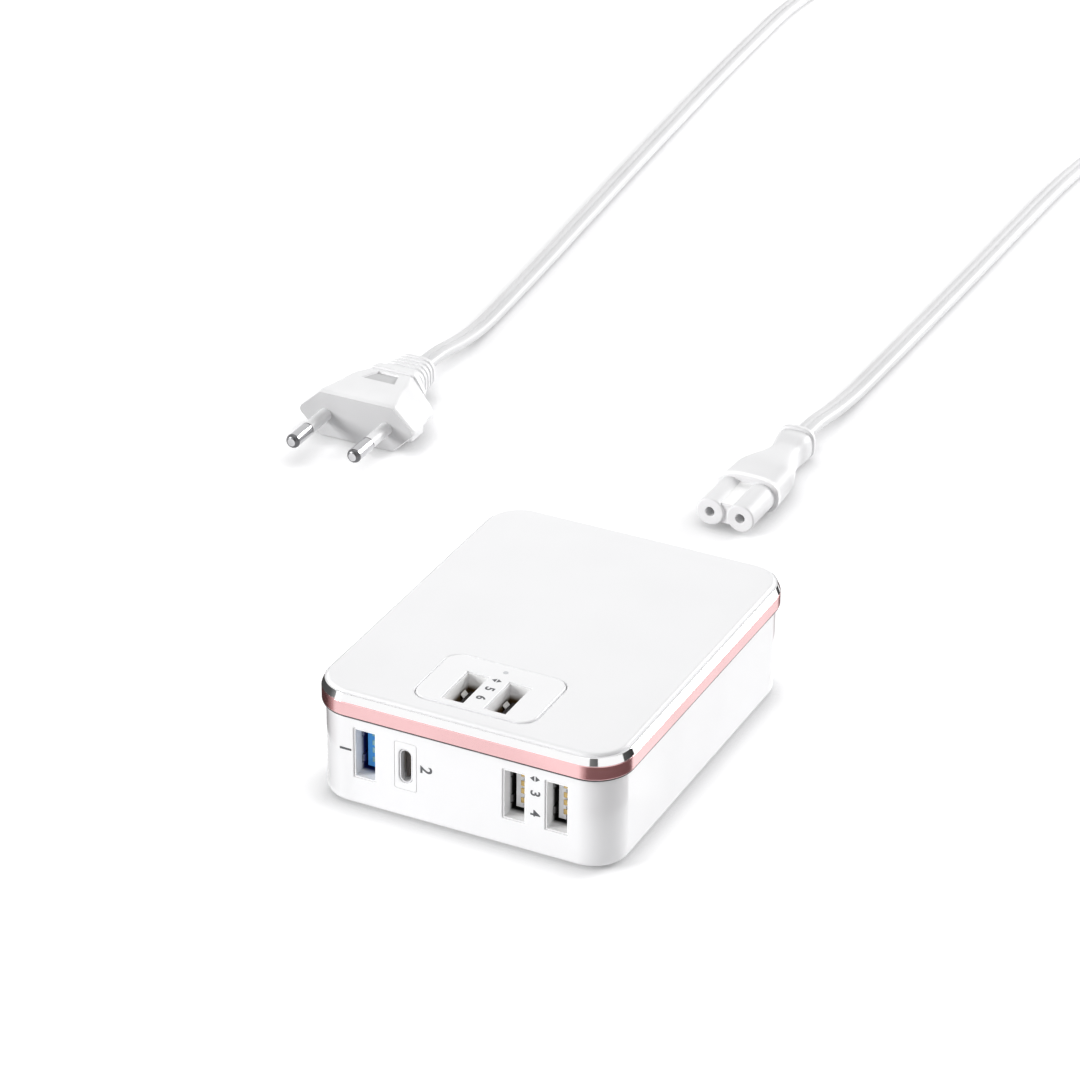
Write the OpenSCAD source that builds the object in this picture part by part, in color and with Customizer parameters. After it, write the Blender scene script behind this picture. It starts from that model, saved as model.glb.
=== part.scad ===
// Desktop USB charging block with six ports, and its detachable two-core mains lead.
// The block stands on its feet with the ports of its front face towards -Y and its mains
// inlet towards +Y. The origin is the middle of its footprint, on the surface it stands on.

/* [Case] */
// Width over the accent band
case_w = 78.9; // [74:0.1:90]
// Depth over the accent band
case_d = 100; // [90:0.5:130]
// Height from the surface to the top plate
case_h = 30.8; // [27.6:0.1:34]
// Radius of the accent band's corners
corner_r = 9.9; // [9:0.1:12]
// How far the accent band stands out from the lower case
overhang = 1.05; // [0.8:0.05:1.3]
// Wall of the lower case
wall_t = 2; // [1.6:0.1:2.2]
// Floor of the lower case
floor_t = 2; // [1.8:0.1:2.4]
// Round along the lower case's bottom edge
bottom_round = 1.5; // [0.8:0.1:1.8]

/* [Band, trim and top plate] */
// Height of the coloured accent band
band_h = 4; // [3:0.1:4.6]
// Wall of the accent band
band_t = 2; // [1.9:0.1:2.4]
// Height of the shadow gap under the accent band
seam_h = 0.4; // [0.3:0.05:0.6]
// How far the shadow gap is set back from the lower case's face
seam_back = 0.6; // [0.3:0.05:0.8]
// Height of the bright trim ring
trim_h = 2.6; // [2.2:0.1:2.8]
// How far the trim ring's bevel leans in
trim_lean = 1.05; // [0.8:0.05:1.3]
// Flat land on top of the trim ring
trim_land = 0.3; // [0.2:0.05:0.5]
// Groove between the trim ring and the top plate
groove_w = 0.25; // [0.15:0.05:0.35]
// Thickness of the top plate
plate_t = 1.6; // [1.2:0.1:1.8]
// Small round along the top plate's edge
plate_round = 0.3; // [0.2:0.05:0.5]
// Thickness of the inner frame's deck
deck_t = 1.8; // [1.6:0.1:2.2]
// Depth of the inner frame's skirt inside the lower case
skirt_h = 1.6; // [1.2:0.1:2]
// Wall of the inner frame's skirt
skirt_t = 1.4; // [1.2:0.1:1.8]
// Clearance between pieces that fit into each other
fit_gap = 0.1; // [0.05:0.01:0.14]

/* [Port panel] */
// Width of the panel round the top ports
panel_w = 31; // [28:0.1:34]
// Depth of the panel round the top ports
panel_d = 21.7; // [20:0.1:24]
// Corner radius of the panel
panel_r = 4; // [2:0.1:5]
// Middle of the panel, right of the block's middle
panel_x = -0.4; // [-2:0.1:2]
// Middle of the panel, behind the block's front edge
panel_back = 17; // [16:0.1:20]
// How far the panel stands above the top plate
panel_proud = 0.2; // [0.1:0.05:0.3]
// Radius of the light pipe's end
light_r = 0.6; // [0.4:0.05:0.9]
// Light pipe behind the panel's middle
light_back = 7.6; // [7.4:0.1:8.2]

/* [Full-size sockets] */
// Long side of the socket's opening
a_long = 12.5; // [12.4:0.05:12.7]
// Short side of the socket's opening
a_short = 5.12; // [5:0.01:5.3]
// Depth of the socket
a_depth = 14; // [13.2:0.1:14.2]
// Sheet of the metal shells
sheet_t = 0.3; // [0.2:0.01:0.35]
// Thickness of the tongue
tongue_t = 1.84; // [1.7:0.01:1.95]
// Width of the tongue
tongue_w = 11.1; // [10.8:0.05:11.3]
// Distance from the shell's mouth to the tongue's tip
tongue_back = 4.3; // [4.2:0.05:4.8]
// Gap between the tongue and the shell on the bare side
tongue_gap = 0.95; // [0.8:0.05:1.1]
// Length of the plastic block behind the tongue
a_block = 3.5; // [2.5:0.1:4]
// Width of a contact strip
contact_w = 1; // [0.8:0.05:1.2]
// Thickness of a contact strip
contact_t = 0.15; // [0.1:0.01:0.2]
// Setback of the shells behind the faces they open in
mouth_back = 0.3; // [0.2:0.05:0.4]
// Length of a spring window in the shell
spring_l = 3; // [2.6:0.1:3.4]
// Width of a spring window in the shell
spring_w = 2.4; // [2:0.1:2.6]
// Distance of a spring window from the socket's middle
spring_off = 3.5; // [3:0.1:3.7]
// Distance from the shell's mouth to its spring windows
spring_back = 3.2; // [3:0.1:3.6]
// How far a spring leaf bulges into the socket
spring_bulge = 0.4; // [0.2:0.05:0.45]

/* [Port places] */
// First port (blue tongue), from the block's left side
port_1_side = 14.65; // [14.25:0.1:15.45]
// Second port (small oval socket), from the block's left side
port_2_side = 25.25; // [24.45:0.1:25.95]
// Third port, from the block's right side
port_3_side = 25.85; // [25.25:0.1:26.05]
// Fourth port, from the block's right side
port_4_side = 15.05; // [14.65:0.1:15.45]
// Middle of the front ports, below the rim of the lower case
port_drop = 9.2; // [8.8:0.05:9.6]
// Fifth port, on the top, from the middle
port_5_x = -5.7; // [-6.2:0.1:-5]
// Sixth port, on the top, from the middle
port_6_x = 5.1; // [4.6:0.1:5.8]
// Middle of the top ports, behind the block's front edge
top_port_back = 14.7; // [14.2:0.1:15.2]

/* [Oval socket] */
// Long side of the oval shell, outside
c_long = 8.94; // [8.9:0.01:9.1]
// Short side of the oval shell, outside
c_short = 3.26; // [3.2:0.01:3.4]
// Depth of the oval shell
c_depth = 8; // [7.5:0.1:9]
// Width of the oval socket's tongue
c_tongue_w = 6.69; // [6.5:0.01:6.9]
// Thickness of the oval socket's tongue
c_tongue_t = 0.7; // [0.6:0.01:0.8]
// Distance from the oval shell's mouth to its tongue
c_tongue_back = 1.2; // [0.8:0.1:1.6]
// Width of the insert round the oval socket
insert_w = 5.6; // [5.2:0.1:6]
// Height of the insert round the oval socket
insert_h = 12.5; // [12:0.1:13]
// Depth of the insert
insert_t = 4; // [3.5:0.1:5]

/* [Mains inlet] */
// Distance between the two mains pins
pin_pitch = 8.6; // [8.6:0.1:8.7]
// Radius of an inlet pin
inlet_pin_r = 1.2; // [1.15:0.01:1.25]
// Depth of the inlet's recess
inlet_deep = 11; // [10.5:0.1:12]
// Setback of the pins' tips inside the recess
inlet_pin_back = 1.5; // [1:0.1:2]
// Plastic round the inlet's recess
inlet_wall = 1.6; // [1.4:0.1:1.7]
// Plastic behind the inlet's recess
inlet_back = 5; // [4:0.1:6]
// Clearance round the connector's nose in the recess
nose_gap = 0.3; // [0.2:0.05:0.4]

/* [Screws, feet and boards] */
// Distance of the screws from the block's sides
screw_side = 7.95; // [7.65:0.05:8.15]
// Distance of the screws from the block's front and rear edges
screw_end = 10.4; // [10:0.1:11.4]
// Radius of a screw boss
boss_r = 2.8; // [2.5:0.1:3]
// Radius of a screw's shank
screw_r = 1.25; // [1.1:0.05:1.4]
// Radius of a screw's head
screw_head_r = 2.3; // [2.1:0.1:2.4]
// Length of a screw under its head
screw_l = 12; // [10:0.5:14]
// Radius of a rubber foot
foot_r = 4.4; // [4:0.1:4.6]
// Thickness of a rubber foot
foot_t = 1.2; // [1.1:0.1:1.4]
// How far the feet stand out under the case
foot_out = 0.5; // [0.4:0.05:0.6]
// Thickness of the circuit boards
board_t = 1.6; // [1.5:0.1:1.7]
// Width of the small board under the top ports
top_board_w = 17; // [16.8:0.1:17.2]
// Length of the transformer's core
core_l = 25; // [22:0.5:27]
// Width of the transformer's core
core_w = 26; // [24:0.5:27]
// Height of the transformer's core
core_t = 8; // [6:0.5:9]
// Radius of the two large capacitors
bulk_r = 7.5; // [6:0.1:7.6]
// Length of the two large capacitors
bulk_l = 24; // [20:0.5:26]
// Radius of the four output capacitors
can_r = 4; // [3:0.1:4.2]
// Height of the four output capacitors
can_h = 13; // [9:0.5:15]
// Radius of the choke
choke_r = 8; // [6:0.1:8.2]
// Radius of the hole in the choke
choke_hole = 3.5; // [2:0.1:4]
// Height of the choke
choke_h = 9; // [6:0.1:12]
// Length of the heat sink
sink_l = 26; // [20:0.5:28]
// Height of the heat sink
sink_h = 15; // [10:0.5:17]

/* [Connector on the lead] */
// Radius of each lobe of the connector's nose
lobe_r = 3.85; // [3.8:0.01:3.9]
// Length of the connector's nose
nose_l = 14; // [12:0.5:16]
// Radius of the connector's two holes
hole_r = 1.3; // [1.25:0.01:1.4]
// Depth of the connector's holes
hole_deep = 11; // [10.5:0.1:12]
// Width of the connector's body at its shoulder
grip_w = 18; // [17.5:0.1:19]
// Height of the connector's body at its shoulder
grip_h = 10; // [9.6:0.1:10.4]
// Length of the connector's body behind the nose
grip_l = 36; // [34:0.5:40]

/* [Mains plug] */
// Width of the plug's front face
plug_w = 35.3; // [34:0.1:36.5]
// Height of the plug's front face
plug_h = 13.7; // [13.2:0.1:14.2]
// Length of the plug's body
plug_l = 24.5; // [23:0.5:28]
// Distance between the plug's pins at their tips
plug_pitch = 18.6; // [17.6:0.1:19]
// Radius of a plug pin
plug_pin_r = 2; // [1.97:0.01:2.03]
// Length of a plug pin
plug_pin_l = 19; // [18:0.1:19.5]
// Radius of the sleeve on a pin
sleeve_r = 1.8; // [1.75:0.01:1.84]
// Length of the sleeve on a pin
sleeve_l = 10; // [9:0.1:11]
// Length of the ribbed strain relief
relief_l = 12; // [10:0.5:14]
// Number of grooves in the strain relief
relief_grooves = 5; // [3:1:6]

/* [Cord] */
// Width of the flat cord
cord_w = 5.4; // [5.2:0.1:5.6]
// Thickness of the flat cord
cord_t = 3.2; // [3:0.1:3.4]
// Radius of the coil at the middle of its turns
coil_r = 31; // [29:0.5:32]
// Thickness of the strap that ties the coil
strap_t = 0.6; // [0.4:0.1:0.8]

/* [Hidden] */
$fn = 48;
// A hair by which a cutter runs past the face it opens, so that no skin is left
past = 0.5;

// Heights of the stack, from the surface up
case_z = foot_out;
band_z = case_h - trim_h - band_h;
trim_z = case_h - trim_h;
plate_z = case_h - plate_t;
rim_z = band_z - seam_h;
deck_z = plate_z - deck_t;
floor_z = case_z + floor_t;
front_port_z = rim_z - port_drop;

// Places that follow the block's edges
port_1_x = -case_w / 2 + port_1_side;
port_2_x = -case_w / 2 + port_2_side;
port_3_x = case_w / 2 - port_3_side;
port_4_x = case_w / 2 - port_4_side;
panel_y = -case_d / 2 + panel_back;
top_port_y = -case_d / 2 + top_port_back;
screw_x = case_w / 2 - screw_side;
screw_y = case_d / 2 - screw_end;

// The lower case and the hollow inside it
tub_w = case_w - 2 * overhang;
tub_d = case_d - 2 * overhang;
tub_r = corner_r - overhang;
room_w = tub_w - 2 * wall_t;
room_d = tub_d - 2 * wall_t;
room_r = tub_r - wall_t;
front_y = -tub_d / 2;
rear_y = tub_d / 2;

// The plate inside the trim ring
trim_in = trim_lean + trim_land;
plate_in = trim_in + groove_w;

// The boards, as high as the sockets that stand on them need
a_half = a_long / 2 + sheet_t;
board_top = front_port_z - a_half - fit_gap;
board_z = board_top - board_t;
top_board_top = case_h + panel_proud - mouth_back - a_depth - fit_gap;
top_board_z = top_board_top - board_t;
post_r = boss_r + 0.8;
boss_z = board_z + 4;
pocket_z = case_z + foot_t - foot_out;
screw_z = pocket_z + 1;

// The mains inlet
inlet_z = board_top + fit_gap + lobe_r + nose_gap + inlet_wall;
recess_r = lobe_r + nose_gap;
inlet_w = pin_pitch + 2 * (recess_r + inlet_wall);
inlet_h = 2 * (recess_r + inlet_wall);
inlet_l = inlet_deep + inlet_back;

// The lead's pieces, where they lie on the surface
connector_x = -5.6;
connector_y = 111.7;
nose_z = grip_h / 2;
shoulder_y = connector_y + nose_l;
grip_end_y = shoulder_y + grip_l;
plug_x = -115;
plug_y = 111.5;
plug_z = plug_h / 2;
relief_y = plug_y + plug_l;
relief_end_y = relief_y + relief_l;

// The coil, with its turns on edge beside and on each other
coil_beside = 2;
turn_gap = 0.2;
bundle_w = coil_beside * cord_t + (coil_beside - 1) * turn_gap;
bundle_h = 2 * cord_w + turn_gap;
coil_x = 20;
coil_y = 478;
coil_out = coil_r + bundle_w / 2;
coil_in = coil_r - bundle_w / 2;
strap_angle = 16;
touch_r = coil_out + cord_w / 2 + 0.05;
cord_seat = 0.1;

// Route of the cord from the connector to the coil, and from the coil to the plug
connector_route = [
    [connector_x, grip_end_y + cord_seat, nose_z], [-5.6, 172, 4.6], [-5.4, 184, 3],
    [-5.2, 198, 1.8], [-5, 215, 1.6], [-4.6, 250, 1.6], [-4.3, 290, 1.6], [-4.2, 330, 1.6],
    [-3.6, 365, 1.6], [-1, 390, 1.6], [7, 409, 1.6], [20, 424, 1.6], [36, 436, 1.6],
    [49.5, 449, 1.9], [56, 463, 2.6], [coil_x + touch_r, coil_y, strap_t + cord_w / 2]
];
plug_route = [
    [plug_x, relief_end_y + cord_seat, plug_z], [-115.1, 160, 6.2], [-115.6, 172, 4], [-116.4, 185, 2.1],
    [-117.4, 200, 1.6], [-120.2, 235, 1.6], [-123.4, 270, 1.6], [-127, 310, 1.6],
    [-130.4, 350, 1.6], [-133.6, 390, 1.6], [-136.2, 430, 1.6], [-137.4, 460, 1.6],
    [-135, 484, 1.6], [-126, 506, 1.6], [-110, 522, 1.6], [-88, 531, 1.6], [-62, 532, 1.6],
    [-36, 527, 1.8], [-10, 518, 4.5], [coil_x, coil_y + touch_r, strap_t + bundle_h - cord_w / 2]
];

// A rectangle with true arcs at its corners
module round_rect(w, d, r) {
    square([w - 2 * r, d], center = true);
    square([w, d - 2 * r], center = true);
    for (sx = [-1, 1], sy = [-1, 1])
        translate([sx * (w / 2 - r), sy * (d / 2 - r)]) circle(r);
}

// A slab with rounded corners, from height z upwards
module slab(w, d, r, z, h) {
    translate([0, 0, z]) linear_extrude(h) round_rect(w, d, r);
}

// A profile carried round a rounded rectangle. The profile's x is the distance out from the
// corner's centre, which is r at the outer face, and its y is the height.
module carried_round(w, d, r) {
    for (q = [0:3]) {
        reach = (q % 2 == 0 ? w : d) / 2 - r;
        run = (q % 2 == 0 ? d : w) / 2 - r;
        rotate(90 * q) translate([reach, 0, 0]) {
            rotate([90, 0, 0]) linear_extrude(2 * run, center = true) children();
            translate([0, run, 0]) rotate_extrude(angle = 90) children();
        }
    }
}

// A block with the same profile all round and a solid middle, from height z to z + h
module block_round(w, d, r, z, h) {
    carried_round(w, d, r) children();
    translate([-(w / 2 - r), -(d / 2 - r), z]) cube([w - 2 * r, d - 2 * r, h]);
}

// The four screw places
module at_screws() {
    for (sx = [-1, 1], sy = [-1, 1]) translate([sx * screw_x, sy * screw_y, 0]) children();
}

// A closed skin over rings of points, each ring with as many points as the first
module skin(rings) {
    n = len(rings[0]);
    m = len(rings);
    polyhedron(
        points = [for (ring = rings) each ring],
        faces = concat(
            [[for (i = [0:n - 1]) i]],
            [for (j = [0:m - 2], i = [0:n - 1]) each [
                [j * n + i, (j + 1) * n + i, (j + 1) * n + (i + 1) % n],
                [j * n + i, (j + 1) * n + (i + 1) % n, j * n + (i + 1) % n]]],
            [[for (i = [n - 1:-1:0]) (m - 1) * n + i]]
        )
    );
}

// Points on the rounded corner b of an outline that comes from a and goes on to c
function corner(a, b, c, r, n) =
    let (
        u = (a - b) / norm(a - b), v = (c - b) / norm(c - b),
        half = acos(u * v) / 2, axis = (u + v) / norm(u + v),
        mid = b + axis * r / sin(half), from = b + u * r / tan(half) - mid,
        turn = 180 - 2 * half, way = sign(u[0] * v[1] - u[1] * v[0])
    )
    [for (i = [0:n]) let (t = -way * turn * i / n)
        mid + [from[0] * cos(t) - from[1] * sin(t), from[0] * sin(t) + from[1] * cos(t)]];

// A closed outline with each corner rounded
function rounded(pts, r, n) =
    let (m = len(pts))
    [for (i = [0:m - 1]) each corner(pts[(i + m - 1) % m], pts[i], pts[(i + 1) % m], r, n)];

// A smooth step from 0 to 1
function ease(t) = let (s = min(max(t, 0), 1)) s * s * (3 - 2 * s);

// A value that eases between the stations of a table of [place, value]
function along(table, y) =
    let (k = max([for (i = [0:len(table) - 2]) if (i == 0 || table[i][0] <= y) i]),
        t = (y - table[k][0]) / (table[k + 1][0] - table[k][0]))
    table[k][1] + (table[k + 1][1] - table[k][1]) * ease(t);

module lower_case() {
    color("white") difference() {
        union() {
            difference() {
                block_round(tub_w, tub_d, tub_r, case_z, rim_z - case_z) {
                    translate([0, case_z + bottom_round])
                        square([tub_r, rim_z - case_z - bottom_round]);
                    translate([0, case_z]) square([tub_r - bottom_round, bottom_round]);
                    intersection() {
                        translate([tub_r - bottom_round, case_z + bottom_round])
                            circle(bottom_round);
                        translate([tub_r - bottom_round, case_z])
                            square([bottom_round, bottom_round]);
                    }
                }
                slab(room_w, room_d, room_r, floor_z, case_h);
            }
            at_screws() translate([0, 0, case_z + foot_t])
                cylinder(r = post_r, h = boss_z - fit_gap - case_z - foot_t);
            board_posts();
        }
        for (x = [port_1_x, port_3_x, port_4_x]) front_slot(x);
        translate([port_2_x, front_y, front_port_z])
            cube([insert_w + 2 * fit_gap, 2 * wall_t + past, insert_h + 2 * fit_gap],
                center = true);
        translate([0, rear_y, inlet_z])
            cube([inlet_w + 2 * fit_gap, 2 * wall_t + past, inlet_h + 2 * fit_gap],
                center = true);
        at_screws() {
            translate([0, 0, case_z - past]) cylinder(r = foot_r + fit_gap, h = pocket_z - case_z + past);
            cylinder(r = screw_head_r + fit_gap, h = screw_z + 2);
            cylinder(r = screw_r + fit_gap, h = case_h);
        }
    }
}

// Opening in the front wall for one full-size socket
module front_slot(x) {
    translate([x, front_y, front_port_z])
        cube([a_short + 2 * (sheet_t + fit_gap), 2 * wall_t + past, a_long + 2 * (sheet_t + fit_gap)],
            center = true);
}

// Posts that carry the main board
module board_posts() {
    for (sx = [-1, 1], y = [-0.2, 0.25] * case_d)
        translate([sx * (room_w / 2 - 5), y, case_z + floor_t / 2])
            cylinder(r = 2, h = board_z - fit_gap - case_z - floor_t / 2);
}

module inner_frame() {
    band_in = corner_r - band_t - fit_gap;
    wall_in = corner_r - overhang - wall_t - fit_gap;
    color("gainsboro") difference() {
        union() {
            carried_round(case_w, case_d, corner_r) {
                translate([0, deck_z]) square([band_in, deck_t]);
                translate([band_in - skirt_t, band_z]) square([skirt_t, trim_z - band_z]);
                translate([wall_in - skirt_t, rim_z])
                    square([wall_t + fit_gap + skirt_t - seam_back, seam_h]);
                translate([wall_in - skirt_t, rim_z - skirt_h]) square([skirt_t, skirt_h]);
            }
            translate([-(case_w / 2 - corner_r), -(case_d / 2 - corner_r), deck_z])
                cube([case_w - 2 * corner_r, case_d - 2 * corner_r, deck_t]);
            at_screws() translate([0, 0, boss_z]) cylinder(r = boss_r, h = deck_z + deck_t / 2 - boss_z);
        }
        for (x = [port_5_x, port_6_x]) top_slot(x);
        translate([panel_x, panel_y + light_back, deck_z - past])
            cylinder(r = light_r + fit_gap, h = deck_t + 2 * past);
        at_screws() translate([0, 0, boss_z - past])
            cylinder(r = screw_r, h = screw_l + past);
    }
}

// Opening for one socket that stands upright under the port panel
module top_slot(x) {
    translate([x, top_port_y, deck_z - past])
        linear_extrude(case_h)
            square([a_short + 2 * (sheet_t + fit_gap), a_long + 2 * (sheet_t + fit_gap)], center = true);
}

module accent_band() {
    color("#f4c6c6") carried_round(case_w, case_d, corner_r)
        translate([corner_r - band_t, band_z]) square([band_t, band_h]);
}

module trim_ring() {
    color("silver") carried_round(case_w, case_d, corner_r)
        polygon([
            [corner_r - trim_in, trim_z], [corner_r, trim_z],
            [corner_r - trim_lean, case_h], [corner_r - trim_in, case_h]
        ]);
}

module top_plate() {
    edge = corner_r - plate_in;
    color("whitesmoke") difference() {
        block_round(case_w, case_d, corner_r, plate_z, plate_t) {
            translate([0, plate_z]) square([edge, plate_t - plate_round]);
            translate([0, plate_z]) square([edge - plate_round, plate_t]);
            translate([edge - plate_round, case_h - plate_round]) circle(plate_round);
        }
        translate([panel_x, panel_y, plate_z - past])
            linear_extrude(plate_t + 2 * past)
                round_rect(panel_w + 2 * fit_gap, panel_d + 2 * fit_gap, panel_r + fit_gap);
    }
}

module port_panel() {
    proud_z = case_h + panel_proud;
    color("white") difference() {
        translate([panel_x, panel_y, plate_z])
            linear_extrude(plate_t + panel_proud) round_rect(panel_w, panel_d, panel_r);
        for (x = [port_5_x, port_6_x])
            translate([x, top_port_y, plate_z - past]) linear_extrude(plate_t + 2)
                square([a_short + 2 * (sheet_t + fit_gap), a_long + 2 * (sheet_t + fit_gap)],
                    center = true);
        translate([panel_x, panel_y + light_back, plate_z - past])
            cylinder(r = light_r + fit_gap / 2, h = proud_z);
    }
}

module light_pipe() {
    color("gainsboro") translate([panel_x, panel_y + light_back, 0]) {
        translate([0, 0, top_board_top + 1.2]) cylinder(r = light_r, h = case_h + panel_proud - top_board_top - 1.2);
        translate([0, 0, top_board_top + 1.2]) cylinder(r = light_r + 0.5, h = 3);
    }
}

module status_lamp() {
    color("khaki") translate([panel_x, panel_y + light_back, top_board_top + fit_gap + 0.5])
        cube([1.6, 0.8, 1], center = true);
}

// A full-size socket with its mouth at the origin facing -Y, its long side upright and its
// contacts on the +X side of the tongue
module a_shell() {
    out = sheet_t;
    difference() {
        translate([-a_short / 2 - out, 0, -a_long / 2 - out])
            cube([a_short + 2 * out, a_depth, a_long + 2 * out]);
        translate([-a_short / 2, -past, -a_long / 2]) cube([a_short, a_depth + 2 * past, a_long]);
        for (sz = [-1, 1]) translate([0, spring_back + spring_l / 2, sz * spring_off])
            cube([a_short + 4 * out, spring_l, spring_w], center = true);
    }
    for (sx = [0, 1], sz = [-1, 1]) mirror([sx, 0, 0]) translate([a_short / 2, 0, sz * spring_off])
        spring_leaf();
}

// One spring leaf: it starts at its window's far edge, bulges in and ends free
module spring_leaf() {
    far = spring_back + spring_l;
    top = far - 0.6 * spring_l;
    translate([0, 0, -spring_w / 2 + 0.3]) linear_extrude(spring_w - 0.6) polygon([
        [0, far], [sheet_t, far], [sheet_t, far - 0.4], [sheet_t - spring_bulge, top],
        [sheet_t, far - spring_l + 0.5], [0, far - spring_l + 0.3],
        [-spring_bulge, top], [0, far - 0.4]
    ]);
}

// Middle of the tongue, off the socket's middle towards the bare side
tongue_mid = -a_short / 2 + tongue_gap + tongue_t / 2;

module a_tongue() {
    translate([-a_short / 2 + 0.02, a_depth - a_block, -a_long / 2 + 0.02])
        cube([a_short - 0.04, a_block, a_long - 0.04]);
    translate([tongue_mid - tongue_t / 2, tongue_back, -tongue_w / 2])
        cube([tongue_t, a_depth - a_block - tongue_back, tongue_w]);
}

// Places of the four contact strips across the tongue
contact_places = [-3.5, -1, 1, 3.5];

module a_contacts() {
    for (z = contact_places)
        translate([tongue_mid + tongue_t / 2, tongue_back + 0.4, z - contact_w / 2])
            cube([contact_t, a_depth - a_block - tongue_back - 0.4, contact_w]);
}

// The blue socket's second row: five short pads near the tongue's tip
module a_pads() {
    for (i = [-2:2])
        translate([tongue_mid - tongue_t / 2 - contact_t, tongue_back + 0.4, i * 2 - contact_w / 2])
            cube([contact_t, 2.2, contact_w]);
}

// Place a socket in the front wall
module in_front(x) {
    translate([x, front_y + mouth_back, front_port_z]) children();
}

// Place a socket upright under the port panel
module in_top(x) {
    translate([x, top_port_y, case_h + panel_proud - mouth_back]) rotate([-90, 0, 0]) children();
}

module socket_1_shell() { color("silver") in_front(port_1_x) a_shell(); }
module socket_1_tongue() { color("dodgerblue") in_front(port_1_x) a_tongue(); }
module socket_1_contacts() { color("gold") in_front(port_1_x) { a_contacts(); a_pads(); } }
module socket_3_shell() { color("silver") in_front(port_3_x) a_shell(); }
module socket_3_tongue() { color("white") in_front(port_3_x) a_tongue(); }
module socket_3_contacts() { color("gold") in_front(port_3_x) a_contacts(); }
module socket_4_shell() { color("silver") in_front(port_4_x) a_shell(); }
module socket_4_tongue() { color("white") in_front(port_4_x) a_tongue(); }
module socket_4_contacts() { color("gold") in_front(port_4_x) a_contacts(); }
module socket_5_shell() { color("silver") in_top(port_5_x) a_shell(); }
module socket_5_tongue() { color("#2a2320") in_top(port_5_x) a_tongue(); }
module socket_5_contacts() { color("gold") in_top(port_5_x) a_contacts(); }
module socket_6_shell() { color("silver") in_top(port_6_x) a_shell(); }
module socket_6_tongue() { color("#2a2320") in_top(port_6_x) a_tongue(); }
module socket_6_contacts() { color("gold") in_top(port_6_x) a_contacts(); }

// An upright oval of the given long and short sides, extruded back from y = 0
module oval(long, short, depth) {
    rotate([-90, 0, 0]) linear_extrude(depth) {
        square([short, long - short], center = true);
        for (s = [-1, 1]) translate([0, s * (long - short) / 2]) circle(short / 2);
    }
}

module oval_insert() {
    color("white") translate([port_2_x, front_y, front_port_z]) difference() {
        translate([-insert_w / 2, 0, -insert_h / 2]) cube([insert_w, insert_t, insert_h]);
        translate([0, -past, 0])
            oval(c_long + 2 * fit_gap, c_short + 2 * fit_gap, insert_t + 2 * past);
    }
}

module oval_shell() {
    color("silver") translate([port_2_x, front_y + mouth_back, front_port_z]) difference() {
        oval(c_long, c_short, c_depth);
        translate([0, -past, 0])
            oval(c_long - 2 * sheet_t, c_short - 2 * sheet_t, c_depth + past - sheet_t);
    }
}

module oval_tongue() {
    deep = c_depth - sheet_t;
    color("#303030") translate([port_2_x, front_y + mouth_back, front_port_z]) {
        translate([-c_tongue_t / 2, c_tongue_back, -c_tongue_w / 2])
            cube([c_tongue_t, deep - c_tongue_back, c_tongue_w]);
        translate([0, deep - 2, 0])
            oval(c_long - 2 * sheet_t - 0.04, c_short - 2 * sheet_t - 0.04, 2);
    }
}

module oval_contacts() {
    deep = c_depth - sheet_t;
    color("gold") translate([port_2_x, front_y + mouth_back, front_port_z])
        for (sx = [-1, 1], i = [-5:5])
            translate([sx * (c_tongue_t / 2 + 0.05), (c_tongue_back + deep - 1.6) / 2, i * 0.5])
                cube([0.1, deep - 2.4 - c_tongue_back, 0.25], center = true);
}

module main_board() {
    edge_gap = 0.5;
    notch = 20;
    reach = notch / 2 - post_r - edge_gap;
    color("seagreen") difference() {
        slab(room_w - 2 * edge_gap, room_d - 2 * edge_gap, room_r - edge_gap, board_z, board_t);
        for (sx = [-1, 1], sy = [-1, 1])
            translate([sx * (screw_x + reach), sy * (screw_y + reach), board_z])
                cube([notch, notch, 3 * board_t], center = true);
    }
}

module top_port_board() {
    color("seagreen") translate([-top_board_w / 2 + (port_5_x + port_6_x) / 2,
        top_port_y - a_half - 2, top_board_z])
        cube([top_board_w, panel_y + light_back + 2 - (top_port_y - a_half - 2), board_t]);
}

// A pin header between the two boards
link_pins = 6;
link_pitch = 2.54;
link_pin = 0.64;
link_y = top_port_y + a_half + 4.6;

module board_link() {
    body = link_pitch;
    low = board_top;
    for (i = [0:link_pins - 1]) translate([(i - (link_pins - 1) / 2) * link_pitch, link_y, low]) {
        color("#222222") translate([0, 0, body / 2])
            cube([link_pitch + 0.02, body, body], center = true);
        color("gold") translate([0, 0, (body + top_board_z - low) / 2 - 0.25])
            cube([link_pin, link_pin, top_board_z - low - body + 0.5], center = true);
    }
}

// The transformer: a closed core with two windows, and a bobbin on its middle leg
bulk_x = -0.37 * room_w;
bulk_step = 2 * bulk_r + 0.6;
core_x = bulk_x + bulk_step + bulk_r + 0.9 + core_w / 2;
core_y = 0.04 * case_d;
core_z = board_top + 5;
leg = core_l / 4;
window = (core_w - 2 * leg) / 2;

module transformer_core() {
    color("#3b3b40") translate([core_x, core_y, core_z]) difference() {
        translate([-core_w / 2, -core_l / 2, 0]) cube([core_w, core_l, core_t]);
        for (sx = [-1, 1]) translate([sx * (leg / 2 + window / 2), 0, core_t / 2])
            cube([window, core_l - leg, core_t + 2 * past], center = true);
    }
}

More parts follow.
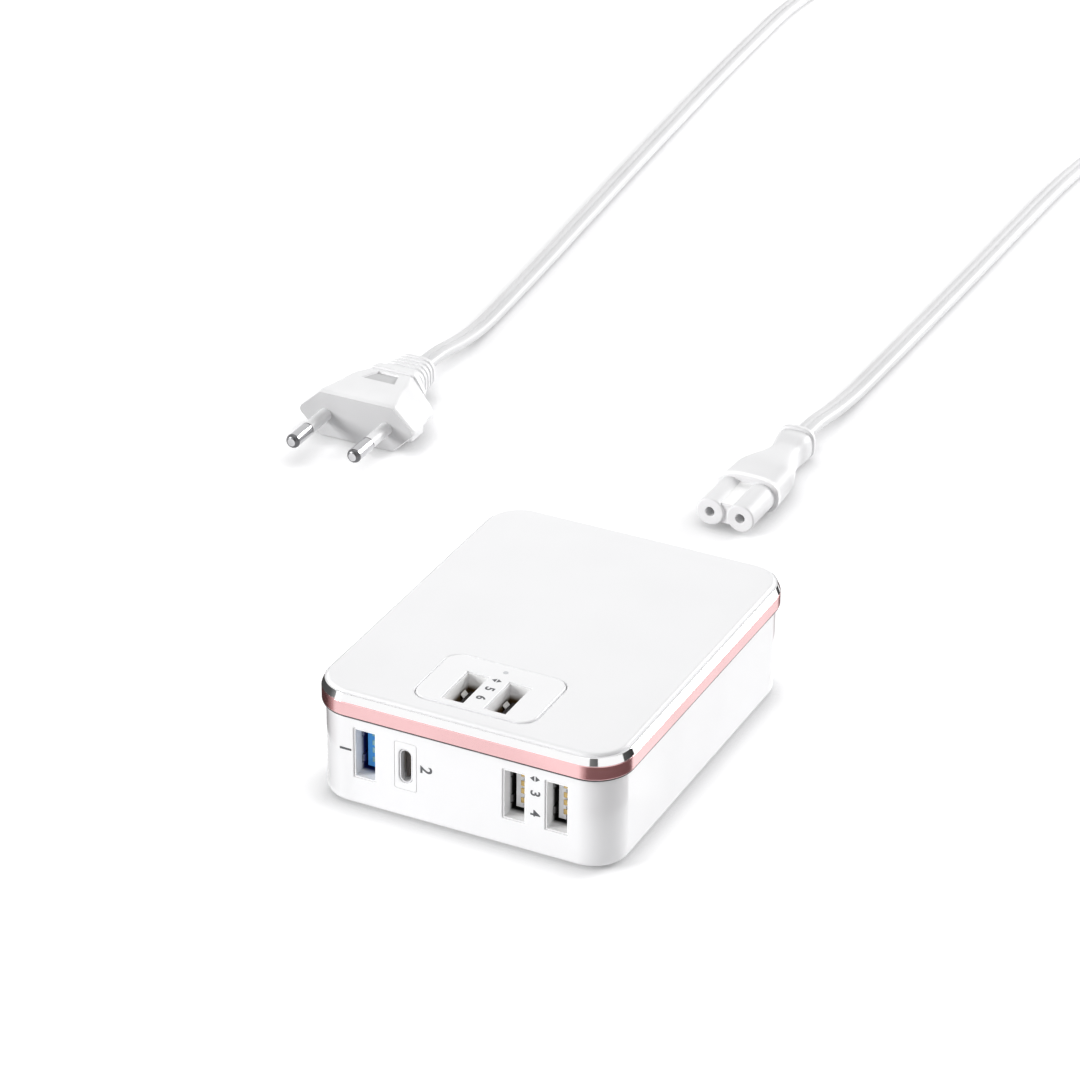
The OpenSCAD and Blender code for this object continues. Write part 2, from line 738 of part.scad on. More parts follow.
module transformer_winding() {
    bob = core_l - leg - 0.4;
    flange = 1;
    full_w = leg + 2 * window - 0.4;
    full_h = core_t + 9.8;
    color("khaki") translate([core_x, core_y - bob / 2, core_z + core_t / 2])
        rotate([-90, 0, 0]) difference() {
            union() {
                linear_extrude(bob) square([leg + 2.4, core_t + 2.4], center = true);
                for (z = [0, bob - flange]) translate([0, 0, z]) linear_extrude(flange)
                    square([full_w, full_h], center = true);
                translate([0, 0, flange / 2]) linear_extrude(bob - flange)
                    round_rect(full_w - 2, full_h - 2.8, 2);
            }
            translate([0, 0, -past]) linear_extrude(bob + 2 * past)
                square([leg + 0.4, core_t + 0.4], center = true);
        }
}

module bulk_capacitors() {
    color("#26323c") for (x = [bulk_x, bulk_x + bulk_step])
        translate([x, 0.08 * case_d + bulk_l / 2, board_top + bulk_r + fit_gap])
            rotate([90, 0, 0]) cylinder(r = bulk_r, h = bulk_l);
}

module output_capacitors() {
    inner = top_board_w / 2 + can_r + 0.5;
    color("#2b3c33") for (s = [-1, 1], k = [0, 1])
        translate([s * (inner + k * (2 * can_r + 0.6)), -0.18 * case_d, board_top])
            cylinder(r = can_r, h = can_h);
}

module line_choke() {
    color("#5a4a2a") translate([inlet_w / 2 + choke_r + 2, 0.344 * case_d, board_top + fit_gap])
        rotate_extrude() translate([choke_hole, 0]) square([choke_r - choke_hole, choke_h]);
}

// Sizes of the small blocks on the board
film = [10, 6, 12];
fuse_size = [4, 8, 8];
bridge = [14, 3.6, 11];
block_y = 0.26 * case_d;

module film_capacitor() {
    color("goldenrod") translate([-16 - film[0], block_y, board_top + fit_gap]) cube(film);
}

module fuse() {
    color("#777777") translate([-inlet_w / 2 - 0.5 - fuse_size[0], block_y, board_top + fit_gap])
        cube(fuse_size);
}

module bridge_rectifier() {
    color("#1e1e1e") translate([sink_x - 10, 0.2 * case_d, board_top + fit_gap]) cube(bridge);
}

sink_x = room_w / 2 - 8.4;

// An angle of sheet aluminium with cooling fins on its upright side
module heat_sink() {
    sheet = 1.6;
    fins = 6;
    fin = 1.2;
    foot = 4.2;
    color("lightgray") translate([sink_x, -0.11 * case_d, board_top + fit_gap]) {
        cube([sheet, sink_l, sink_h]);
        for (i = [0:fins - 1]) translate([sheet / 2, i * (sink_l - fin) / (fins - 1), 4])
            cube([3.6, fin, sink_h - 4]);
        translate([0.2 - foot, 0, 0]) cube([foot, sink_l, fin]);
    }
}

// The two-lobed outline of the connector's nose, grown by gap
module lobes(gap) {
    for (s = [-1, 1]) translate([s * pin_pitch / 2, 0]) circle(lobe_r + gap);
    square([pin_pitch, 2 * (lobe_r + gap) - 1.6], center = true);
}

module inlet_housing() {
    color("#202020") translate([0, rear_y, inlet_z]) difference() {
        translate([-inlet_w / 2, -inlet_l, -inlet_h / 2]) cube([inlet_w, inlet_l, inlet_h]);
        translate([0, past, 0]) rotate([90, 0, 0]) linear_extrude(inlet_deep + past) lobes(nose_gap);
        for (s = [-1, 1]) translate([s * pin_pitch / 2, -inlet_deep + past, 0]) rotate([90, 0, 0])
            cylinder(r = inlet_pin_r + 0.35, h = inlet_back + 2 * past);
    }
}

module inlet_pins() {
    tip = rear_y - inlet_pin_back;
    root = rear_y - inlet_deep;
    color("silver") for (s = [-1, 1]) translate([s * pin_pitch / 2, 0, inlet_z]) {
        translate([0, tip - inlet_pin_r, 0]) rotate([90, 0, 0])
            cylinder(r = inlet_pin_r, h = tip - inlet_pin_r - root);
        translate([0, tip - inlet_pin_r, 0]) sphere(inlet_pin_r);
        translate([0, root, 0]) rotate([90, 0, 0]) cylinder(r = inlet_pin_r + 0.3, h = inlet_back + 1);
    }
}

module case_screws() {
    color("silver") at_screws() {
        translate([0, 0, screw_z]) cylinder(r = screw_head_r, h = 2);
        translate([0, 0, screw_z + 1]) cylinder(r = screw_r - 0.05, h = screw_l + 1);
    }
}

module rubber_feet() {
    color("#d8d8d8") at_screws() cylinder(r = foot_r, h = foot_t);
}

// Ring of the connector's grip at a distance y behind its shoulder
grip_widths = [[0, 17], [1.2, 18], [10, 17.6], [25.5, 9.8], [32, 11.2], [35, 9.6], [36, 6.4]];
grip_heights = [[0, 9.2], [1.2, 10], [10, 9.8], [25.5, 8.2], [32, 9], [35, 7.8], [36, 5]];

function grip_ring(y) =
    let (
        s = y * 36 / grip_l,
        w = along(grip_widths, s) * grip_w / 18, h = along(grip_heights, s) * grip_h / 10,
        n = 2 / 3
    )
    [for (i = [0:27]) let (a = i * 360 / 28)
        [connector_x + sign(cos(a)) * pow(abs(cos(a)), n) * w / 2, shoulder_y + y,
            h / 2 + sign(sin(a)) * pow(abs(sin(a)), n) * h / 2]];

module connector_body() {
    stations = [36, 35, 33.5, 32, 30, 28, 25.5, 22, 19, 16, 13, 10, 7, 4, 1.2, 0];
    color("white") difference() {
        union() {
            skin([for (s = stations) grip_ring(s * grip_l / 36)]);
            translate([connector_x, connector_y, nose_z]) rotate([-90, 0, 0])
                linear_extrude(nose_l + 1) lobes(0);
        }
        for (s = [-1, 1]) translate([connector_x + s * pin_pitch / 2, connector_y - past, nose_z])
            rotate([-90, 0, 0]) cylinder(r = hole_r, h = hole_deep + past);
        for (s = [-1, 1]) translate([connector_x + s * pin_pitch / 2, connector_y + hole_deep - past, nose_z])
            rotate([-90, 0, 0]) cylinder(r = hole_r - 0.25, h = 9 + past);
    }
}

module connector_terminals() {
    color("gold") for (s = [-1, 1])
        translate([connector_x + s * pin_pitch / 2, connector_y + hole_deep, nose_z])
            rotate([-90, 0, 0]) cylinder(r = hole_r - 0.3, h = 8.9);
}

// Parts of the plug's width at its sides and across its top, and of its height, at each
// distance behind its face
plug_round = 1.6;
plug_sides = [[0, 1], [12.5, 0.94], [24.5, 0.47]];
plug_tops = [[0, 22.7 / 35.3], [12.5, 17 / 35.3], [24.5, 11.4 / 35.3]];
plug_heights = [[0, 1], [12.5, 0.98], [24.5, 0.8]];

function plug_ring(y) =
    let (
        s = y * 24.5 / plug_l, e = min(1, (y + 0.5) / 1.5),
        wide = along(plug_sides, s) * plug_w / 2 - 0.6 * (1 - e),
        top = along(plug_tops, s) * plug_w / 2 - 0.3 * (1 - e),
        h = along(plug_heights, s) * plug_h / 2 - 0.6 * (1 - e),
        side = wide + plug_round * (1 / sin(atan2(h, wide - top)) - 1)
    )
    [for (p = rounded([[top, h], [side, 0], [top, -h], [-top, -h], [-side, 0], [-top, h]],
            plug_round, 4))
        [plug_x + p[0], plug_y + y, plug_z + p[1]]];

module plug_body() {
    stations = [0, 1, 4, 7, 10, 12.5, 15, 17.5, 20, 22.5, 24.5];
    recess_w = 10.2;
    color("white") difference() {
        union() {
            skin([for (s = stations) plug_ring(s * plug_l / 24.5)]);
            strain_relief();
            for (s = [-1, 1]) translate([plug_x + s * plug_w * 0.36, plug_y + 9, 2.1])
                cube([3, 7.5, 1.8], center = true);
        }
        translate([plug_x, plug_y, plug_h - 0.7]) linear_extrude(2) polygon([
            [-recess_w / 2, 12.7], [recess_w / 2, 12.7], [recess_w * 0.3, 19], [-recess_w * 0.3, 19]
        ]);
        for (s = [-1, 1]) translate([plug_x + s * plug_pitch / 2, plug_y - past, plug_z])
            rotate([-90, 0, 0]) cylinder(r = 1.5, h = 8 + past);
    }
}

// The ribbed strain relief, a stepped taper with a groove before each rib
module strain_relief() {
    step = relief_l / (relief_grooves + 0.5);
    w0 = 14.6;
    w1 = 11;
    h0 = 10;
    h1 = 8.6;
    for (i = [0:relief_grooves]) {
        t = i / relief_grooves;
        w = w0 + (w1 - w0) * t;
        h = h0 + (h1 - h0) * t;
        translate([plug_x, relief_y + (i - 0.5) * step + 0.4 * step, plug_z]) rotate([-90, 0, 0])
            linear_extrude(step * 0.6) round_rect(w, h, 3.4);
    }
    translate([plug_x, relief_y - 1, plug_z]) rotate([-90, 0, 0])
        linear_extrude(relief_l + 1) round_rect(w1 - 1.4, h1 - 1.4, 2.8);
}

module plug_pins() {
    color("silver") for (s = [-1, 1])
        translate([plug_x + s * plug_pitch / 2, plug_y, plug_z]) rotate([90, 0, 0]) {
            translate([0, 0, -7.9]) cylinder(r = 1.45, h = sleeve_l + 8);
            translate([0, 0, sleeve_l]) cylinder(r = plug_pin_r, h = plug_pin_l - sleeve_l - 0.9);
            translate([0, 0, plug_pin_l - 0.9]) rotate_extrude()
                polygon([[0, 0], [2, 0], [1.85, 0.45], [1.3, 0.82], [0.9, 0.9], [0, 0.9]] * (plug_pin_r / 2));
        }
}

module pin_sleeves() {
    color("white") for (s = [-1, 1])
        translate([plug_x + s * plug_pitch / 2, plug_y, plug_z]) rotate([90, 0, 0]) difference() {
            cylinder(r = sleeve_r, h = sleeve_l);
            translate([0, 0, -past]) cylinder(r = 1.5, h = sleeve_l + 2 * past);
        }
}

// Rings of a flat cord carried along a route, eight points round, its wide side level
function cord_ring(route, k) =
    let (
        last = len(route) - 1,
        raw = route[min(k + 1, last)] - route[max(k - 1, 0)],
        dir = raw / norm(raw), flat = norm([dir[0], dir[1]]),
        side = [dir[1] / flat, -dir[0] / flat, 0], up = cross(side, dir)
    )
    [for (i = [0:7]) let (a = i * 45 + 22.5)
        route[k] + side * cos(a) * cord_w / 2 / cos(22.5) + up * sin(a) * cord_t / 2 / sin(67.5)];

// A smooth route through the chosen points, with a ring about every three widths
function smooth(route, steps) =
    let (last = len(route) - 1)
    concat(
        [for (k = [0:last - 1], i = [0:steps - 1])
            let (
                a = route[max(k - 1, 0)], b = route[k], c = route[k + 1],
                d = route[min(k + 2, last)], t = i / steps
            )
            b + (c - a) * t / 2 + (a * 2 - b * 5 + c * 4 - d) * t * t / 2
                + (b * 3 - a - c * 3 + d) * t * t * t / 2],
        [route[last]]
    );

module cord(route) {
    path = [for (p = smooth(route, 2)) [p[0], p[1], max(p[2], cord_t / 2)]];
    color("#ececec") skin([for (k = [len(path) - 1:-1:0]) cord_ring(path, k)]);
}

module cord_connector_side() { cord(connector_route); }
module cord_plug_side() { cord(plug_route); }

module cord_coil() {
    color("#ececec") translate([coil_x, coil_y, strap_t]) rotate_extrude($fn = 96)
        translate([coil_in, 0]) square([bundle_w, bundle_h]);
}

module coil_strap() {
    color("white") translate([coil_x, coil_y, 0]) rotate(-120) rotate_extrude(angle = strap_angle)
        difference() {
            translate([coil_in - strap_t, 0])
                square([bundle_w + 2 * strap_t, bundle_h + 2 * strap_t]);
            translate([coil_in, strap_t]) square([bundle_w, bundle_h]);
        }
}

lower_case();
inner_frame();
accent_band();
trim_ring();
top_plate();
port_panel();
light_pipe();
status_lamp();
socket_1_shell();
socket_1_tongue();
socket_1_contacts();
oval_insert();
oval_shell();
oval_tongue();
oval_contacts();
socket_3_shell();
socket_3_tongue();
socket_3_contacts();
socket_4_shell();
socket_4_tongue();
socket_4_contacts();
socket_5_shell();
socket_5_tongue();
socket_5_contacts();
socket_6_shell();
socket_6_tongue();
socket_6_contacts();
main_board();
top_port_board();
board_link();
transformer_core();
transformer_winding();
bulk_capacitors();
output_capacitors();
line_choke();
film_capacitor();
fuse();
bridge_rectifier();
heat_sink();
inlet_housing();
inlet_pins();
case_screws();
rubber_feet();
connector_body();
connector_terminals();
plug_body();
plug_pins();
pin_sleeves();
cord_connector_side();
cord_plug_side();
cord_coil();
coil_strap();
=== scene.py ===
"""The finished surfaces of a six-port charging block and its detached mains lead.

The packed CAD model is loaded as a fixed frame, and every piece made here stands in its
place. Shapes are worked out in millimetres and made in metres.
"""

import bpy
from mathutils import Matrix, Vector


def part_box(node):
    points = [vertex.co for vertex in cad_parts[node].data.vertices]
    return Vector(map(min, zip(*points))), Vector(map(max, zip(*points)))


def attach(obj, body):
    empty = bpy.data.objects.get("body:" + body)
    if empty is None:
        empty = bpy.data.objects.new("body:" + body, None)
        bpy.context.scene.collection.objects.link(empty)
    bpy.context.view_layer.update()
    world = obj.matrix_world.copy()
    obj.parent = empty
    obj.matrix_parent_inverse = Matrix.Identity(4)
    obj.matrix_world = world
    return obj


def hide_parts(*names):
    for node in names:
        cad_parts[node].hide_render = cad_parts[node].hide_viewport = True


bl_info = {
    "name": "Charging block",
    "version": (1, 0, 0),
    "blender": (4, 5, 0),
    "location": "3D View > Sidebar > Charging block",
    "description": "Builds the finished surfaces of a charging block and its mains lead",
    "category": "Object",
}

import bmesh
import bpy
import numpy as np
from bpy.props import FloatProperty, FloatVectorProperty, IntProperty, PointerProperty
from mathutils import Matrix, Vector
from mathutils.geometry import tessellate_polygon

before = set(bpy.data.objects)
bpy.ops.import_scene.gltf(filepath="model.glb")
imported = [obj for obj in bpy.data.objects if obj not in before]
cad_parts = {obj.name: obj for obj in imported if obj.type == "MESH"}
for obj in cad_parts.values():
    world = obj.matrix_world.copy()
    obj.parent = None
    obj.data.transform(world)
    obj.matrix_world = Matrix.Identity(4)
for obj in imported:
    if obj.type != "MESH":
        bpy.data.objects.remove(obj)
MM = 0.001
ARC = 14
STEPS = 5
CLEAR = 0.1
FRONT_SOCKETS = (1, 3, 4)
TOP_SOCKETS = (5, 6)
X, Y, Z = np.eye(3)


def span(node):
    """Lowest and highest corner of a CAD node, in millimetres."""
    low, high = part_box(node)
    return np.array(low) / MM, np.array(high) / MM


def middle(node):
    """Middle of a CAD node's box, in millimetres."""
    low, high = span(node)
    return (low + high) / 2


# Shapes: profiles and grids

def unit(v):
    """A direction of length one."""
    return v / np.linalg.norm(v, axis=-1, keepdims=True)


def rim(w, d, r, arc=ARC):
    """Rounded rectangle as corner centres and outward directions, counter-clockwise: the
    directions turn a quarter round each corner's centre, and a straight side joins two."""
    turn = np.radians(np.arange(4)[:, None] * 90 + np.linspace(0, 90, arc + 1)).ravel()
    corner = np.array([[1, 1], [-1, 1], [-1, -1], [1, -1]]) * [w / 2 - r, d / 2 - r]
    return np.repeat(corner, arc + 1, axis=0), np.stack([np.cos(turn), np.sin(turn)], 1)


def disc_rim(count=40):
    """Circle as one centre with directions all round it."""
    turn = np.arange(count) * 2 * np.pi / count
    return np.zeros((count, 2)), np.stack([np.cos(turn), np.sin(turn)], 1)


def oval_rim(short, tall, arc=16):
    """Upright oval: half a turn round its upper centre, half a turn round its lower one."""
    turn = np.radians(np.concatenate([np.linspace(0, 180, arc), np.linspace(180, 360, arc)]))
    reach = (tall - short) / 2
    centre = np.stack([np.zeros(2 * arc), np.repeat([reach, -reach], arc)], 1)
    return centre, np.stack([np.cos(turn), np.sin(turn)], 1)


def carried(outline, profile):
    """A profile of (distance, height) carried round an outline: each point is the outline's
    centre plus its direction times the distance, at the profile's height."""
    centre, out = outline
    profile = np.asarray(profile, float)
    flat = centre[None] + out[None] * profile[:, None, :1]
    return np.dstack([flat, np.broadcast_to(profile[:, 1:], flat.shape[:2])])


def softened(points, radii, steps=STEPS):
    """A line with rounded corners: each corner between two neighbours gives way to an arc
    that touches both of its sides, turned evenly from one touching point to the other."""
    points = [np.asarray(p, float) for p in points]
    out = [points[0][None]]
    for a, b, c, r in zip(points, points[1:], points[2:], radii):
        if not r:
            out.append(b[None])
            continue
        u, v = unit(a - b), unit(c - b)
        half = np.arccos(np.clip(u @ v, -1, 1)) / 2
        mid = b + unit(u + v) * r / np.sin(half)
        start, end = b + u * r / np.tan(half) - mid, b + v * r / np.tan(half) - mid
        turn = np.pi - 2 * half
        t = np.linspace(0, 1, steps + 1)[:, None]
        out.append(mid + (np.sin((1 - t) * turn) * start + np.sin(t * turn) * end) / np.sin(turn))
    out.append(points[-1][None])
    return np.concatenate(out)


def softened_loop(points, radii, steps=STEPS):
    """A closed profile with rounded corners, whose last point is its first again."""
    points = [np.asarray(p, float) for p in points]
    start = (points[-1] + points[0]) / 2
    return softened([start, *points, start], radii, steps)


def placed(local, origin, a, b, c):
    """Local places (a, b, c) turned to the given directions and moved to an origin."""
    return np.asarray(origin, float) + local[..., :1] * a + local[..., 1:2] * b + local[..., 2:] * c


def along(rings, s):
    """Flat rings as places in space, each at its own distance."""
    return np.concatenate([rings, np.broadcast_to(s[:, None, None], rings.shape[:2] + (1,))], -1)


def ease(t):
    """A smooth step from 0 to 1: three times the square less twice the cube."""
    t = np.clip(t, 0, 1)
    return t * t * (3 - 2 * t)


def eased(table, at):
    """Values that ease from one station of a table of (place, value) to the next."""
    table = np.asarray(table, float)
    k = np.clip(np.searchsorted(table[:, 0], at, side="right") - 1, 0, len(table) - 2)
    t = (at - table[k, 0]) / (table[k + 1, 0] - table[k, 0])
    return table[k, 1] + (table[k + 1, 1] - table[k, 1]) * ease(t)


def through(points, steps):
    """A smooth line through points: between two of them it is the cubic whose slope at each
    end is half the step between that end's neighbours."""
    p = np.asarray(points, float)
    p = np.concatenate([p[:1], p, p[-1:]])
    a, b, c, d = (p[i:len(p) - 3 + i, None] for i in range(4))
    t = (np.arange(steps) / steps)[None, :, None]
    line = b + (c - a) * t / 2 + (2 * a - 5 * b + 4 * c - d) * t ** 2 / 2 \
        + (3 * b - a - 3 * c + d) * t ** 3 / 2
    return np.concatenate([line.reshape(-1, p.shape[1]), p[-1:]])


class Skin:
    """Gathers surfaces in millimetres and makes one mesh of them."""

    def __init__(self):
        self.points, self.faces, self.count = [], [], 0

    def add(self, points, faces):
        """Adds points and the faces between them."""
        points = np.asarray(points, float).reshape(-1, 3)
        self.faces += (np.asarray(faces) + self.count).tolist()
        self.points.append(points)
        self.count += len(points)

    def grid(self, points, around=True, left_out=()):
        """Quads between neighbours of a grid of points, rows by columns. The last column
        joins the first where the grid goes around."""
        rows, cols = points.shape[:2]
        i, j = np.arange(rows - 1)[:, None], np.arange(cols if around else cols - 1)[None]
        k = (j + 1) % cols
        quads = np.stack([i * cols + j, i * cols + k, (i + 1) * cols + k, (i + 1) * cols + j], -1)
        keep = np.ones(quads.shape[:2], bool)
        for row, col in left_out:
            keep[row, col] = False
        self.add(points, quads[keep])

    def cap(self, *loops):
        """Fills a flat loop, less the loops inside it."""
        faces = tessellate_polygon([[Vector(p) for p in loop] for loop in loops])
        self.add(np.concatenate(loops), faces)

    def closed(self, points):
        """Adds a grid that goes around, with flat caps on its first and last rows."""
        self.grid(points)
        self.cap(points[0])
        self.cap(points[-1])

    def make(self, name, sharp=38):
        """Merges the doubles, turns the faces outward and makes the object."""
        mesh = bpy.data.meshes.new(name)
        mesh.from_pydata((np.concatenate(self.points) * MM).tolist(), [], self.faces)
        work = bmesh.new()
        work.from_mesh(mesh)
        bmesh.ops.remove_doubles(work, verts=work.verts, dist=2e-6)
        bmesh.ops.dissolve_degenerate(work, edges=work.edges, dist=1e-7)
        bmesh.ops.recalc_face_normals(work, faces=work.faces)
        work.to_mesh(mesh)
        work.free()
        return shown(mesh, name, sharp)


def linked(name, data):
    """A new object of the given data, in the scene."""
    made = bpy.data.objects.new(name, data)
    bpy.context.scene.collection.objects.link(made)
    return made


def shown(mesh, name, sharp):
    """An object of a mesh, shaded smooth up to an angle, with normals that favour flats."""
    mesh.validate()
    mesh.shade_smooth()
    mesh.set_sharp_from_angle(angle=np.radians(sharp))
    piece = linked(name, mesh)
    even = piece.modifiers.new("Even normals", "WEIGHTED_NORMAL")
    even.keep_sharp = True
    return piece


def stands_for(piece, nodes, material):
    """Gives a piece its material and its body, and hides the nodes it replaces."""
    piece.data.materials.append(material)
    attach(piece, "root")
    if nodes:
        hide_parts(*nodes)
    return piece


def second_finish(piece, material, chosen):
    """Gives some of a piece's faces another material. Chosen tells them from their middles,
    in millimetres, and their directions."""
    piece.data.materials.append(material)
    count = len(piece.data.polygons)
    centre, normal = np.empty((2, count * 3))
    piece.data.polygons.foreach_get("center", centre)
    piece.data.polygons.foreach_get("normal", normal)
    picked = chosen(centre.reshape(-1, 3) / MM, normal.reshape(-1, 3))
    index = np.empty(count, np.int32)
    piece.data.polygons.foreach_get("material_index", index)
    index[picked] = len(piece.data.materials) - 1
    piece.data.polygons.foreach_set("material_index", index)
    piece.data.update()
    return piece


def paint(name, material):
    """Puts a material on every slot of a CAD node's object."""
    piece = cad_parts[name]
    if not piece.material_slots:
        piece.data.materials.append(material)
    for slot in piece.material_slots:
        slot.material = material


def opening(skin, outline, r, origin, a, b, c, depth, soft):
    """The reveal of a hole: its outline is grown by the edge round at the face, follows a
    quarter circle to its true size and goes straight back. Gives its front and back loops."""
    turn = np.linspace(0, np.pi / 2, STEPS + 1)
    profile = np.stack([r + soft * (1 - np.sin(turn)), soft * (1 - np.cos(turn))], 1)
    profile = np.concatenate([profile, [[r, depth]]])
    walls = placed(carried(outline, profile), origin, a, b, c)
    skin.grid(walls)
    return walls[0], walls[-1]


def pierced(skin, side, face, holes):
    """A side wall with flat caps on its first and last rows and holes that go right through
    both. Face is the row, 0 or -1, that the holes start at."""
    skin.grid(side)
    loops = [opening(skin, *hole) for hole in holes]
    skin.cap(side[face], *(front for front, _ in loops))
    skin.cap(side[-1 - face], *(back for _, back in loops))


def turned(profile, origin, axis, side, count=48):
    """A profile of (radius, distance) turned about an axis."""
    profile = np.asarray(profile, float)
    t = np.arange(count) * 2 * np.pi / count
    up = np.cross(axis, side)
    ring = np.cos(t)[:, None] * side + np.sin(t)[:, None] * up
    return origin + profile[:, None, 1:] * axis + profile[:, None, :1] * ring[None]


# Finishes

def linear(rgb):
    """Colour values from 0 to 255 as the shader's linear ones."""
    c = np.asarray(rgb, float) / 255
    return tuple(np.where(c <= 0.04045, c / 12.92, ((c + 0.055) / 1.055) ** 2.4)) + (1.0,)


def node(tree, kind, values=(), **settings):
    """A shader node with its settings, whose type is named without the common prefix. Each
    input gets a value or another node's output."""
    made = tree.nodes.new("ShaderNode" + kind)
    for key, value in settings.items():
        setattr(made, key, value)
    for key, value in dict(values).items():
        if isinstance(value, bpy.types.NodeSocket):
            tree.links.new(value, made.inputs[key])
        else:
            made.inputs[key].default_value = value
    return made


def blank(name):
    """A new material and its empty node tree."""
    material = bpy.data.materials.new(name)
    material.use_nodes = True
    material.node_tree.nodes.clear()
    return material, material.node_tree


def effect(name, inputs, outputs):
    """An empty shader group: its tree, the values it is given and those it gives back."""
    tree = bpy.data.node_groups.new(name, "ShaderNodeTree")
    for label, value in inputs.items():
        kind = "NodeSocketVector" if isinstance(value, tuple) else "NodeSocketFloat"
        tree.interface.new_socket(label, in_out="INPUT", socket_type=kind).default_value = value
    for label in outputs:
        tree.interface.new_socket(label, in_out="OUTPUT", socket_type="NodeSocketFloat")
    given = tree.nodes.new("NodeGroupInput").outputs
    return tree, given, tree.nodes.new("NodeGroupOutput").inputs


def moulded_effect():
    """Moulded or ground surface: fine grain as height, a slow mottle as shade, and a
    roughness that drifts with the mottle. Stretch draws the grain out along an axis."""
    tree, given, back = effect(
        "Surface grain",
        {"Vector": (0.0, 0.0, 0.0), "Stretch": (1.0, 1.0, 1.0), "Grain": 3000.0,
            "Mottle": 60.0, "Roughness": 0.4, "Drift": 0.1},
        ("Height", "Shade", "Roughness"))
    drawn = node(tree, "VectorMath", {0: given["Vector"], 1: given["Stretch"]},
        operation="MULTIPLY")
    fine = node(tree, "TexNoise", {"Vector": drawn.outputs[0], "Scale": given["Grain"],
        "Detail": 3.0, "Roughness": 0.6})
    slow = node(tree, "TexNoise", {"Vector": given["Vector"], "Scale": given["Mottle"],
        "Detail": 2.0, "Roughness": 0.5})
    spread = node(tree, "MapRange", {"Value": slow.outputs[0], "From Min": 0.3,
        "From Max": 0.7})
    less = node(tree, "Math", {0: spread.outputs[0], 1: 0.5}, operation="SUBTRACT")
    drift = node(tree, "Math", {0: less.outputs[0], 1: given["Drift"],
        2: given["Roughness"]}, operation="MULTIPLY_ADD")
    for label, source in (("Height", fine), ("Shade", spread), ("Roughness", drift)):
        tree.links.new(source.outputs[0], back[label])


def handled_effect():
    """Faint handling marks: the thin crests of a warped noise, as a mask."""
    tree, given, back = effect(
        "Handling marks", {"Vector": (0.0, 0.0, 0.0), "Scale": 90.0, "Amount": 0.3}, ("Mask",))
    marks = node(tree, "TexNoise", {"Vector": given["Vector"], "Scale": given["Scale"],
        "Detail": 6.0, "Roughness": 0.7, "Distortion": 1.5})
    crest = node(tree, "MapRange", {"Value": marks.outputs[0], "From Min": 0.58,
        "From Max": 0.72})
    amount = node(tree, "Math", {0: crest.outputs[0], 1: given["Amount"]},
        operation="MULTIPLY")
    tree.links.new(amount.outputs[0], back["Mask"])


def finish(name, colour, second=None, rough=0.4, drift=0.08, grain=2600.0, mottle=45.0,
           bump=0.15, depth=0.00004, metallic=0.0, stretch=(1.0, 1.0, 1.0), coat=0.0,
           marks=0.25, attribute=None, deep=None):
    """A material: two close colours mixed by the mottle, grain as bump, drifting roughness
    and handling marks that dull the gloss. Deep is (axis, from, to, colour) in millimetres:
    the colour that the material fades to with depth along an axis, a painted shade as inside
    a socket. The patterns lie on the object's own coordinates, or on a named attribute."""
    material, tree = blank(name)
    if attribute:
        place = node(tree, "Attribute", attribute_name=attribute).outputs["Vector"]
    else:
        place = node(tree, "TexCoord").outputs["Object"]
    groups = bpy.data.node_groups
    surface = node(tree, "Group", {"Vector": place, "Stretch": stretch, "Grain": grain,
        "Mottle": mottle, "Roughness": rough, "Drift": drift}, node_tree=groups["Surface grain"])
    touch = node(tree, "Group", {"Vector": place, "Amount": marks},
        node_tree=groups["Handling marks"])
    second = second or tuple(0.94 * c for c in colour)
    tone = node(tree, "Mix", {"Factor": surface.outputs["Shade"], "A": linear(colour),
        "B": linear(second)}, data_type="RGBA")
    # Painted shade: the colour darkens with depth along the axis
    if deep:
        axis, start, end, far = deep
        apart = node(tree, "SeparateXYZ", {0: place})
        fade = node(tree, "MapRange", {"Value": apart.outputs[axis],
            "From Min": start * MM, "From Max": end * MM}, interpolation_type="SMOOTHSTEP")
        tone = node(tree, "Mix", {"Factor": fade.outputs[0],
            "A": tone.outputs["Result"], "B": linear(far)}, data_type="RGBA")
    dull = node(tree, "Math", {0: touch.outputs["Mask"], 1: 0.25,
        2: surface.outputs["Roughness"]}, operation="MULTIPLY_ADD")
    rise = node(tree, "Bump", {"Height": surface.outputs["Height"], "Strength": bump,
        "Distance": depth})
    shader = node(tree, "BsdfPrincipled", {"Base Color": tone.outputs["Result"],
        "Metallic": metallic, "Roughness": dull.outputs[0], "IOR": 1.47, "Coat Weight": coat,
        "Coat Roughness": 0.08, "Normal": rise.outputs[0]})
    node(tree, "OutputMaterial", {"Surface": shader.outputs[0]})
    return material


# Sizes and colours that a user would change

def length(name, description, value):
    """A length property, in metres."""
    return FloatProperty(name=name, description=description, default=value * MM,
        unit="LENGTH", precision=5, min=0.0)


def shade(name, description, rgb):
    """A colour property, kept as the values from 0 to 1 that a screen shows."""
    return FloatVectorProperty(name=name, description=description, subtype="COLOR_GAMMA",
        size=3, min=0.0, max=1.0, default=tuple(c / 255 for c in rgb))


